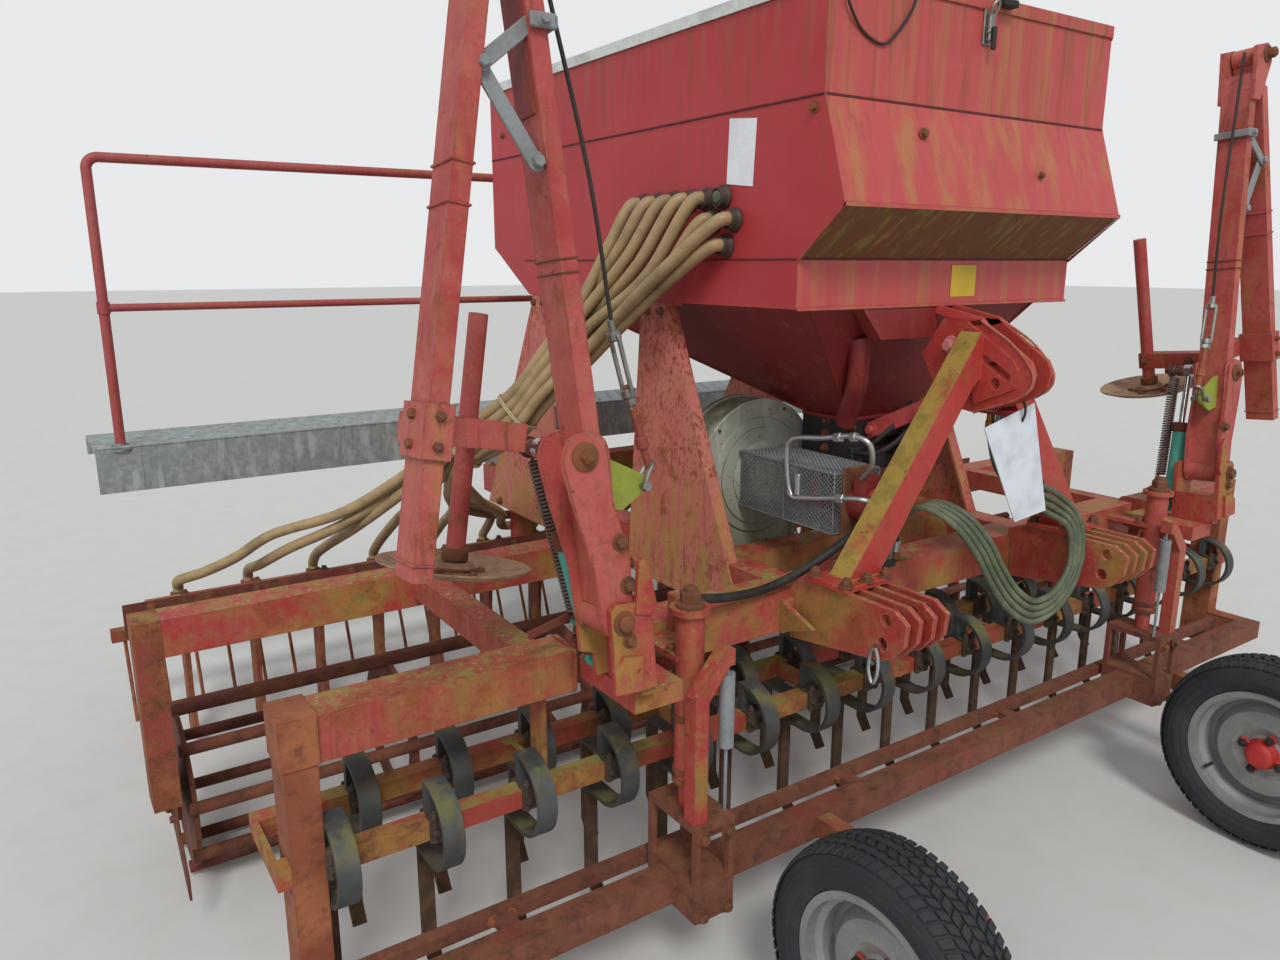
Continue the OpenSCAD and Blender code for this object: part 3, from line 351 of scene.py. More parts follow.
M = {
    "hopper": hopper_paint(),
    "frame": painted("frame_paint", "#a02c2c", "#bb5650", rust=0.55, lichen=0.95, wear_and_highlight=0.85, seed=4, front=0.55),
    "wing": painted("wing_paint", "#9c3630", "#b1564a", rust=0.85, lichen=0.95, wear_and_highlight=0.9, seed=6, streak=0.8,
                    front=0.35, posts=True),
    "arm": painted("arm_paint", "#a03030", "#bd605a", rust=0.4, lichen=0.55, wear_and_highlight=0.75, seed=8, streak=1.0,
                   pale=0.75),
    "legs": painted("leg_paint", "#bb5550", "#c9796c", rust=0.5, lichen=0.5, wear_and_highlight=0.8, seed=10, streak=1.0, pale=0.8,
                    chips=0.85),
    "dark_red": painted("dark_paint", "#7c1f22", "#8c3232", rust=0.3, lichen=0.1, wear_and_highlight=0.4, seed=12, streak=0.2),
    "rail": painted("rail_paint", "#963639", "#ab595a", rust=0.35, lichen=0.3, wear_and_highlight=0.3, seed=14, streak=0.3),
    # The head's pale edge colour is a painted highlight along its plates' edges
    "head": painted("head_paint", "#9f2c2a", "#b4544a", rust=0.55, lichen=0.95, wear_and_highlight=0.9, seed=16, streak=0.7,
                    front=0.48, way=(-0.8, -0.6, 0), edge="#b98073"),
    # The headstock's pale edge colour is a painted highlight along its plates' edges
    "leg_olive": painted("headstock_paint", "#a82b29", "#b8483f", rust=0.35, lichen=0.4, wear_and_highlight=0.8, seed=20,
                         streak=0.3, front=1.35, slope=True, edge="#b06a55"),
    "rust": rusted("rust", seed=2, paint="#8b3a30", amount=0.4, green=0.4),
    "rust_beam": rusted("rust_beam", base="#6f3f2e", light="#85503a", seed=5, paint="#7d3a30", amount=0.3,
                        green=0.08),
    "rust_dark": rusted("rust_dark", base="#5b3021", light="#7d4a2e", dark="#33201a", seed=8, paint="#6a2720",
                        amount=0.35),
    "rust_lichen": rusted("rust_lichen", base="#8a5530", light="#ab7f3e", seed=11, paint="#a23a33", amount=0.62,
                          green=1.0),
    "tine": tine_steel(),
    "disc": rusted("disc_steel", base="#8a6a52", light="#a88868", dark="#5a4232", seed=17),
    "zinc": galvanised(),
    "fan": fan_paint(),
    "lid": plain("lid_paint", "#d3d6d2", 0.55, 0, "#7d7d74", 0.5, 5, 60),
    "tyre": plain("tyre_rubber", "#23262b", 0.78, 0, "#3c3d3a", 0.5, 7, 160),
    "rim": plain("rim_paint", "#8f918e", 0.5, 0.25, "#6d6a62", 0.5, 9, 90),
    "hub": plain("hub_red", "#b32d29", 0.5, 0, "#4b2a22", 0.5, 11, 90),
    "steel": plain("bare_steel", "#9a9a94", 0.38, 0.8, "#5b4a3b", 0.5, 13, 90),
    "chrome": plain("rod_chrome", "#c8c9c6", 0.2, 0.95, "#77736a", 0.2, 15, 120),
    "coil": plain("coil_steel", "#6a5f5a", 0.55, 0.5, "#7d4a3a", 0.6, 57, 90),
    "dark": plain("dark_steel", "#2b2a29", 0.6, 0.3, "#4b3a2c", 0.5, 17, 90),
    "black": plain("black_hose", "#1d1d1d", 0.55, 0, "#4f4a40", 0.45, 19, 140),
    "green": plain("green_hose", "#4d5540", 0.6, 0, "#8c8d6c", 0.5, 21, 140),
    "brass": plain("brass", "#a8853f", 0.4, 0.8, "#5b4a2b", 0.45, 23, 90),
    "teal": plain("ram_paint", "#45a08f", 0.45, 0, "#2f4f46", 0.4, 25, 70),
    "cream": plain("seed_hose", "#a68c64", 0.5, 0, "#64543a", 0.6, 27, 30),
    "cap": plain("grommet", "#3a2d28", 0.6, 0, "#5c4438", 0.4, 29, 90),
    "cover": plain("cover_grey", "#8b8e8f", 0.55, 0.1, "#5f5a50", 0.5, 31, 90),
    "paper": plain("paper", "#e9ebee", 0.8, 0, "#b9bcc2", 0.35, 33, 60, 0),
    "yellow": plain("sticker", "#d8b32c", 0.55, 0, "#9a8a3c", 0.4, 35, 60, 0),
    "mesh": plain("mesh_steel", "#8d9091", 0.5, 0.6, "#4c4c48", 0.5, 37, 90),
    "bolt": plain("bolt_rust", "#6f4a35", 0.75, 0.4, "#a0603a", 0.6, 39, 110),
    "pink": plain("faded_bolt", "#cf8280", 0.6, 0, "#a85750", 0.4, 41, 110),
    # Dark seam colour: partly the joints' own colour, partly painted shadow under the hopper's lips
    "seam": plain("seam_and_lip_shadow", "#5b1619", 0.7, 0, "#3a1f18", 0.4, 43, 90),
    "clamp": plain("clamp_steel", "#55483c", 0.7, 0.3, "#3a2a20", 0.6, 45, 80),
    "silver": plain("bright_pipe", "#b9bcbc", 0.32, 0.85, "#7c7a72", 0.35, 47, 110),
    "card": plain("blank_card", "#d9dde4", 0.7, 0, "#8f959c", 0.45, 49, 14, 0),
    "twine": plain("twine", "#b9aa86", 0.85, 0, "#6d6248", 0.5, 53, 200, 0),
    "brace": painted("brace_paint", "#b8393a", "#c9605a", rust=0.2, lichen=0.1, wear_and_highlight=0.4, seed=18, streak=0.2),
    "lichen_plate": plain("lichen_plate", "#8f9a3a", 0.9, 0, "#6f5a34", 0.45, 55, 70),
}
CAD_LOOK = {
    "frame": "main_frame adjusters coulter_frame marker_brackets", "wing": "wing_frames",
    "head": "hitch_brackets", "leg_olive": "headstock", "rust_beam": "levelling_beam", "cover": "spring_covers",
    "rust": "wheel_arms roller_hangers coulters harrow", "tyre": "tyre_near tyre_far", "rim": "rim_near rim_far",
    "rust_lichen": "tine_bars", "tine": "tines_front tines_rear", "rust_dark": "roller_near roller_far shields",
    "legs": "hopper_legs", "hopper": "hopper_body", "lid": "hopper_lid", "dark_red": "hopper_funnel fan_motor",
    "fan": "fan_housing", "mesh": "fan_guard", "zinc": "walkway", "rail": "handrail",
    "dark": "metering_unit marker_spring_near marker_spring_far", "teal": "marker_ram_near marker_ram_far",
    "arm": "marker_inner_near marker_inner_far marker_outer_near marker_outer_far",
    "disc": "marker_disc_near marker_disc_far", "chrome": "marker_rod_near marker_rod_far",
    "cream": "hoses_near hoses_far",
}
for look, nodes in CAD_LOOK.items():
    for node in nodes.split():
        NODES[node].data.materials.clear()
        NODES[node].data.materials.append(M[look])


# Shapes, in millimetres in the machine's frame
def basis(axis):
    """Two directions square to axis, and axis itself."""
    z = Vector(axis).normalized()
    x = z.orthogonal().normalized()
    return x, z.cross(x), z


def around(x, y, r, n, turn=0.0):
    """n steps round a circle of radius r in the plane of x and y."""
    return [(x * cos(a) + y * sin(a)) * r for a in (turn + 2 * pi * i / n for i in range(n))]


def circle(n, r, start=0):
    """n pairs of measures on a circle of radius r, the first at start degrees."""
    return [(r * cos(a), r * sin(a)) for a in (R(start + 360 / n * i) for i in range(n))]


def placed(p, angle, axis):
    """A turn by angle about axis, and then the move to p."""
    return Matrix.Translation(p) @ Matrix.Rotation(angle, 4, axis)


def smooth(points, step=12.0):
    """Points along a rounded curve through the given ones, about step apart."""
    p = [Vector(q) for q in points]
    p = [p[0] * 2 - p[1]] + p + [p[-1] * 2 - p[-2]]
    out = []
    for i in range(1, len(p) - 2):
        a, b, c, d = p[i - 1:i + 3]
        n = max(2, round((c - b).length / step))
        k = [(b - a).length ** 0.5, (c - b).length ** 0.5, (d - c).length ** 0.5]
        k = [max(v, 1e-3) for v in k]
        m1 = (c - b) + ((b - a) / k[0] - (c - a) / (k[0] + k[1])) * k[1]
        m2 = (c - b) + ((d - c) / k[2] - (d - b) / (k[1] + k[2])) * k[1]
        for j in range(n):
            t = j / n
            out.append(b * (2 * t ** 3 - 3 * t ** 2 + 1) + m1 * (t ** 3 - 2 * t ** 2 + t)
                       + c * (3 * t ** 2 - 2 * t ** 3) + m2 * (t ** 3 - t ** 2))
    return out + [p[-2]]


class Batch:
    """Shapes that become one mesh of one material on one body."""

    def __init__(self, name, look, body="root", place=None):
        self.name, self.look, self.body = name, look, body
        self.place = place or Matrix()
        self.v, self.f = [], []

    def add(self, verts, faces, place=None):
        m = self.place @ place if place else self.place
        k = len(self.v)
        self.v += [m @ Vector(q) for q in verts]
        self.f += [[k + i for i in f] for f in faces]
        return self

    def rows(self, rows, wrap):
        """Skin over rows of points; wrap joins the last row to the first, or else both ends are closed."""
        verts, first = [], []
        for r in rows:
            first.append(len(verts))
            verts += r
        faces = []
        for i in range(len(rows) if wrap else len(rows) - 1):
            k = (i + 1) % len(rows)
            la, lb = len(rows[i]), len(rows[k])
            for j in range(max(la, lb)):
                q = [first[i] + j % la, first[k] + j % lb, first[k] + (j + 1) % lb, first[i] + (j + 1) % la]
                q = [v for at, v in enumerate(q) if v not in q[:at]]
                if len(q) > 2:
                    faces.append(q)
        if not wrap:
            faces += [[first[i] + j for j in range(len(rows[i]))] for i in (0, len(rows) - 1) if len(rows[i]) > 2]
        return self.add(verts, faces)

    def lathe(self, p, axis, profile, n=20, wrap=False, turn=0.0):
        """Turned body: profile is a list of (height, radius) along axis from p."""
        x, y, z = basis(axis)
        middles = [(Vector(p) + z * h, r) for h, r in profile]
        return self.rows([[q + d for d in around(x, y, r, n, turn)] if r else [q] for q, r in middles], wrap)

    def rod(self, p, q, r, n=16, c=1.0):
        p, q = Vector(p), Vector(q)
        d = (q - p).length
        return self.lathe(p, q - p, [(0, 0), (0, r - c), (c, r), (d - c, r), (d, r - c), (d, 0)], n)

    def tube(self, p, q, r, wall, n=18):
        p, q = Vector(p), Vector(q)
        d = (q - p).length
        return self.lathe(p, q - p, [(0, r - wall), (0, r), (d, r), (d, r - wall)], n, wrap=True)

    def sweep(self, points, r, n=10, radii=None, loop=False):
        """Tube along points."""
        p = [Vector(q) for q in points]
        rows = []
        x = basis(p[1] - p[0])[0]
        for i, q in enumerate(p):
            if loop:
                t = (p[(i + 1) % len(p)] - p[i - 1]).normalized()
            else:
                t = (p[min(i + 1, len(p) - 1)] - p[max(i - 1, 0)]).normalized()
            x = (x - t * x.dot(t)).normalized()
            y = t.cross(x)
            rows.append([q + d for d in around(x, y, radii[i] if radii else r, n)])
        return self.rows(rows, loop)

    def pipe(self, points, step, r, n=8):
        """Tube along a rounded curve through points."""
        return self.sweep(smooth(points, step), r, n)

    def box(self, lo, hi, c=1.5, place=None):
        """Box with chamfered edges."""
        lo, hi = Vector(lo), Vector(hi)
        idx, verts = {}, []
        corners = [(i, j, k) for i in (0, 1) for j in (0, 1) for k in (0, 1)]
        for s in corners:
            for a in range(3):
                v = Vector((lo[d] if s[d] == 0 else hi[d]) for d in range(3))
                for d in range(3):
                    if d != a:
                        v[d] += c if s[d] == 0 else -c
                idx[s, a] = len(verts)
                verts.append(v)
        faces = []
        for a in range(3):
            b, d = (a + 1) % 3, (a + 2) % 3
            for e in (0, 1):
                q = []
                for u, w in ((0, 0), (1, 0), (1, 1), (0, 1)):
                    q.append(idx[tuple({a: e, b: u, d: w}[i] for i in range(3)), a])
                faces.append(q)
                for u in (0, 1):
                    s0, s1 = [tuple({a: end, b: e, d: u}[i] for i in range(3)) for end in (0, 1)]
                    faces.append([idx[s0, b], idx[s1, b], idx[s1, d], idx[s0, d]])
        faces += [[idx[s, a] for a in range(3)] for s in corners]
        return self.add(verts, faces, place)

    def plate(self, points, t0, t1, axis="x"):
        """Flat plate: an outline drawn in the plane square to axis (x or y), between t0 and t1 on it."""
        n = len(points)
        verts = [(t, a, b) if axis == "x" else (a, t, b) for t in (t0, t1) for a, b in points]
        faces = [list(range(n)), list(range(n, 2 * n))]
        faces += [[i, (i + 1) % n, n + (i + 1) % n, n + i] for i in range(n)]
        return self.add(verts, faces)

    def bolt(self, p, axis, af, washer=True, stub=0):
        """Hexagon head, or a nut with the end of its stud, on a washer; af is its size across flats."""
        r, h, w, d = af * 0.577, af * 0.62, af * 0.14 if washer else 0, af * 0.31
        if washer:
            self.lathe(p, axis, [(0, 0), (0, r * 1.5), (w * 0.7, r * 1.5), (w, r * 1.4), (w, 0)], 20)
        top = w + h
        self.lathe(p, axis, [(w, 0), (w, r), (w + h * 0.82, r), (top, r * 0.84), (top, 0)], 6, turn=RNG.random())
        if stub:
            end = top + stub
            self.lathe(p, axis, [(w, 0), (w, d), (end - 1, d), (end, af * 0.24), (end, 0)], 10)

    def bolts(self, xs, ys, zs, *kind):
        """A bolt at each mix of the measures; zs runs first and xs last."""
        for p in product(xs, ys, zs):
            self.bolt(p, *kind)

    def weld(self, points, r):
        """Uneven bead along a seam."""
        p = smooth(points, 4.5)
        return self.sweep(p, r, 7, [r * (0.85 + 0.3 * RNG.random()) for _ in p])

    def helix(self, p, axis, big, r, turns, length):
        """Coil of wire of radius r, wound at radius big, with 14 steps a turn."""
        x, y, z = basis(axis)
        seg = 14
        steps, turn = turns * seg, around(x, y, big, seg)
        self.sweep([Vector(p) + z * (length * i / steps) + turn[i % seg] for i in range(steps + 1)], r, 7)

    def done(self, sharp=34, replaces=(), squash=None):
        me = bpy.data.meshes.new(self.name)
        me.from_pydata([tuple(v * MM) for v in self.v], [], self.f)
        me.update()
        bm = bmesh.new()
        bm.from_mesh(me)
        bmesh.ops.recalc_face_normals(bm, faces=bm.faces)
        bm.to_mesh(me)
        bm.free()
        me.polygons.foreach_set("use_smooth", [True] * len(me.polygons))
        me.set_sharp_from_angle(angle=R(sharp))
        me.materials.append(M[self.look])
        o = new_object(self.name, me)
        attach(o, self.body)
        if squash:
            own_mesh(o)
        if replaces:
            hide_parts(*replaces)
        return o


def maker(side, place=None):
    """Maker of pieces whose names, and bodies other than root, end in the side."""
    def new(name, look, body=None, at=place):
        return Batch(f"{name}_{side}", look, f"{body}_{side}" if body else "root", at or MIRROR[side])
    return new


# Free hoses: one over the front beam to the drive, four hung in a loop at the headstock
def free_hose(name, look, points, r, pieces=()):
    line = smooth(points, 14)
    b = Batch(name, look)
    b.sweep(line, r, 12)
    o = b.done()


b = Batch("beam_hose_ends", "silver")
b.lathe((-838, -704, 868), (0.93, 0.02, -0.3), [(-22, 0), (-22, 12), (-4, 12), (-4, 15), (12, 15), (20, 11.5),
        (20, 0)], 12)
b.rod((-107, -629, 822), (-104, -630, 852), 14, 12, 2)
b.done()
Batch("beam_hose_seat", "frame").box((-872, -716, 799), (-848, -690, 884), 3).done()
free_hose("beam_hose", "black", [(-826, -703, 864), (-760, -690, 845), (-670, -674, 828), (-583, -662, 822),
                                 (-500, -664, 836), (-422, -668, 862), (-335, -672, 898), (-272, -668, 920),
                                 (-200, -656, 926), (-140, -642, 905), (-104, -630, 848)], 10.5)
Batch("hose_block", "dark").box((-222, -666, 798), (-138, -638, 818), 3).done()
b = Batch("hose_holder", "brace")
b.box((58, -846, 1184), (124, -732, 1190), 1)
b.weld([(119, -830, 1191), (119, -774, 1191)], 3)
b.done()
# Points of the first hose, each with the way in which the next one lies beside it, so that all four stay apart
HOSE_GAP = 17.5
HOSE_ROUTE = [((-206, -652, 810), (1, 0, 0)), ((-210, -668, 888), (1, 0, 0)), ((-210, -718, 956), (1, 0, 0)),
              ((-202, -792, 988), (1, 0.05, 0.1)), ((-176, -858, 958), (0.95, 0.1, 0.3)),
              ((-130, -888, 892), (0.93, 0, 0.38)), ((-70, -893, 808), (0.8, 0, 0.6)),
              ((12, -894, 722), (0.6, 0, 0.8)), ((112, -894, 668), (0.2, 0, 1)),
              ((225, -892, 682), (-0.35, 0, 0.93)), ((306, -888, 752), (-0.8, 0, 0.6)),
              ((330, -880, 840), (-1, 0, 0)), ((304, -868, 920), (-0.85, -0.1, -0.5)),
              ((240, -850, 974), (-0.5, 0.1, -0.9)), ((166, -836, 1010), (-0.3, 0.6, -0.75)),
              ((106, -830, 1062), (-0.3, 1.1, -0.3)), ((80, -828, 1130), (0, 1.48, 0))]
for k in range(4):
    route = [tuple(Vector(p) + Vector(w) * HOSE_GAP * k) for p, w in HOSE_ROUTE]
    c = Batch(f"hose_coupling_{k}", "brass" if k % 2 else "steel")
    c.lathe(Vector(route[-1]) - Vector((0, 0, 3)), UP, [(0, 0), (0, 9.5), (14, 9.5), (16, 12.4), (36, 12.4),
            (38, 10.4), (57.5, 10), (57.5, 0)], 14)
    free_hose(f"tractor_hose_{k}", "green", route, 8, [c.done()])


# Tyres with block tread, studs, hub and valve
WHEEL_X, WHEEL_Y, TYRE_R = 742.0, -1222.0, 264.0
# Tread blocks round the tyre: how many, depth, width as a share of the pitch, taper in radians a millimetre
BLOCKS, BLOCK_DEEP, BLOCK_WIDE, BLOCK_TAPER = 66, 5.0, 0.78, 0.0012


def tyre_radius(x):
    """Radius of the tread's surface at x from the tyre's middle."""
    return TYRE_R - 0.0009 * abs(x) ** 2.3


def wheel(side, s):
    c = Vector((s * WHEEL_X, WHEEL_Y, TYRE_R))
    new = maker(side, Matrix())
    b = new("tyre_tread", "tyre", "wheel")
    half = [(53, 166), (53, 178), (59, 179), (64, 186), (67.5, 194), (67, 196), (70, 203), (71.5, 213), (70.8, 215),
            (70.4, 226), (68.6, 227.5), (66.4, 236), (61, 244), (53, 250.5), (40, 254.5), (20, 256.8), (0, 257.4)]
    b.lathe(c, FAR, [(-x, r) for x, r in half] + [(x, r) for x, r in reversed(half[:-1])], 96, wrap=True)
    pitch = 2 * pi / BLOCKS
    lanes = [(-64, -43, 0.30), (-38, -24, 0.45), (-20, -3, -0.35), (1, 18, 0.35), (22, 36, -0.45), (41, 64, -0.30)]
    for k, (x0, x1, skew) in enumerate(lanes):
        for i in range(BLOCKS):
            verts = []
            for lift in (-BLOCK_DEEP, 0.0):
                for t in (0, 0.5, 1):
                    x = x0 + (x1 - x0) * t
                    for e in (0, 1):
                        a = pitch * (i + 0.5 * (k % 2) + skew * (t - 0.5) + BLOCK_WIDE * e)
                        a += (1 - 2 * e) * BLOCK_TAPER * (lift + BLOCK_DEEP)
                        r = tyre_radius(x) + lift - (0 if lift else 0.4)
                        verts.append(c + Vector((x, r * cos(a), r * sin(a))))
            faces = [[6, 7, 9, 8], [8, 9, 11, 10], [0, 1, 7, 6], [4, 5, 11, 10], [0, 6, 8, 2], [2, 8, 10, 4],
                     [1, 3, 9, 7], [3, 5, 11, 9]]
            b.add(verts, faces)
    b.done(replaces=("tyre_" + side,))
    b = new("hub", "hub", "wheel")
    b.lathe(c + Vector((-57.2, 0, 0)), FAR, [(0, 0), (0, 20), (1, 26), (9, 34.8), (30, 38.8), (33.5, 42), (35.2, 42),
            (35.2, 0)], 28)
    for i in range(4):
        b.box((-8, -11, 30), (4, 11, 62), 3, placed(c + Vector((-24, 0, 0)), R(90 * i - 70), "X"))
    b.done()
    b = new("wheel_bolts", "dark", "wheel")
    for y, z in circle(4, 50, 20):
        b.bolt(c + Vector((-32, y, z)), NEAR, 19, False, 3)
    foot, tip = (c + Vector((x, r * cos(-0.6), r * sin(-0.6))) for x, r in ((-30, 138), (-62, 144)))
    b.rod(foot, tip, 4.5, 10)
    b.done()


for side, s in (("near", -1), ("far", 1)):
    wheel(side, s)


# Seed hoses: the routes of the CAD, rounded and ribbed
HOSE_R, HOP_X, SOCKET_Y = 17.0, 500, 1000.0
HOSE_EXITS = [(-58, 1699), (-126, 1699), (-194, 1699), (-262, 1699), (-329, 1698), (-360, 1648), (-433, 1648),
              (-405, 1590)]
HOSE_RUNS = [
    [(-585, -20, 1600), (-620, 50, 1475), (-720, 125, 1306), (-775, 180, 1205), (-865, 320, 1085),
     (-1030, 520, 900), (-1158, 650, 795), (-1345, 770, 725), (-1440, 830, 655), (-1525, 910, 600)],
    [(-585, -70, 1590), (-595, 75, 1450), (-685, 150, 1288), (-745, 210, 1188), (-835, 350, 1068),
     (-1000, 545, 875), (-1150, 665, 755), (-1290, 770, 675), (-1360, 880, 605)],
    [(-590, -110, 1565), (-630, 45, 1420), (-728, 122, 1268), (-782, 178, 1168), (-868, 322, 1045),
     (-1015, 525, 855), (-1105, 680, 735), (-1155, 850, 640), (-1166, 950, 585)],
    [(-590, -160, 1545), (-600, 70, 1395), (-692, 145, 1250), (-752, 205, 1150), (-842, 352, 1025),
     (-930, 530, 845), (-955, 700, 740), (-955, 880, 630)],
    [(-595, -210, 1520), (-634, 42, 1366), (-732, 120, 1228), (-786, 176, 1130), (-868, 324, 1003),
     (-860, 500, 860), (-770, 690, 745), (-742, 880, 640)],
    [(-580, -230, 1500), (-604, 66, 1341), (-696, 142, 1210), (-756, 202, 1110), (-868, 440, 930),
     (-760, 640, 790), (-600, 800, 700), (-540, 900, 630)],
    [(-600, -290, 1535), (-640, 36, 1310), (-735, 118, 1188), (-788, 176, 1092), (-870, 430, 930),
     (-800, 620, 790), (-640, 800, 690), (-500, 885, 640), (-380, 940, 610)],
    [(-570, -290, 1520), (-596, -60, 1370), (-608, 62, 1285), (-698, 140, 1168), (-756, 202, 1070),
     (-850, 400, 940), (-720, 600, 790), (-560, 770, 680), (-500, 882, 600), (-400, 900, 590),
     (-250, 930, 590), (-130, 960, 585)],
]
COULTERS, COULTER_PITCH = 16, 212.0


def coulter_x(i):
    return (i - (COULTERS - 1) / 2) * COULTER_PITCH


def hose_line(i):
    """Route of the near side's hose i, from the hopper to its coulter."""
    x, (y, z) = coulter_x(i), HOSE_EXITS[i]
    return smooth([(-HOP_X - 2, y, z), (-HOP_X - 40, y, z)] + HOSE_RUNS[i]
                  + [(x, SOCKET_Y - 25, 565), (x, SOCKET_Y, 540), (x, SOCKET_Y, 521)], 4.5)


for side in MIRROR:
    new = maker(side)
    b = new("seed_hoses", "cream")
    for i in range(len(HOSE_RUNS)):
        line = hose_line(i)
        b.sweep(line, HOSE_R, 12, [HOSE_R - (0.2 if k % 2 else 1.3) for k in range(len(line))])
    b.done(sharp=80, replaces=("hoses_" + side,))
    b = new("hose_grommets", "cap")
    for y, z in HOSE_EXITS + [(-392, 1701)]:
        b.lathe((-HOP_X + 0.5, y, z), NEAR, [(0, 18), (0, 29), (5, 29), (8, 26), (16, 24), (24, 22.5), (26, 20.5),
                (26, 18)], 28, wrap=True)
    b.done()
    new("hose_plug", "green").lathe((-HOP_X + 0.5, -392, 1701), NEAR,
            [(0, 0), (0, 17.5), (20, 17.5), (27, 14), (30, 6), (30, 0)], 24).done()


# Places of the near marker: its pivot, and on it the outer arm, the arm's slant and the ram
MARKER = placed((-1098, -808, 919), R(-5), "X")
ON_OUTER = placed((-146, 0, 1232), R(10.7), "Y")
ARM_LINE = Matrix.Rotation(R(-4.9), 4, "Y")
RAM_LINE = placed((30, 91, -112), atan2(-88, 419), "Y")
# Along the ram: its rod's pin, the spring's own pin, the coil's ends and how far it is squashed
RAM_L, SPRING_Y, SPRING_FOOT = 428.14, 42, 74
COIL_LOW, COIL_TOP, STROKE = 92, 405, 96.2
BAND = [(-18.5, -42.5), (18.5, -42.5), (18.5, 42.5), (-18.5, 42.5)]  # round an arm
DISC_Z = {"near": -1160, "far": -986}  # the far disc is set higher on its spindle


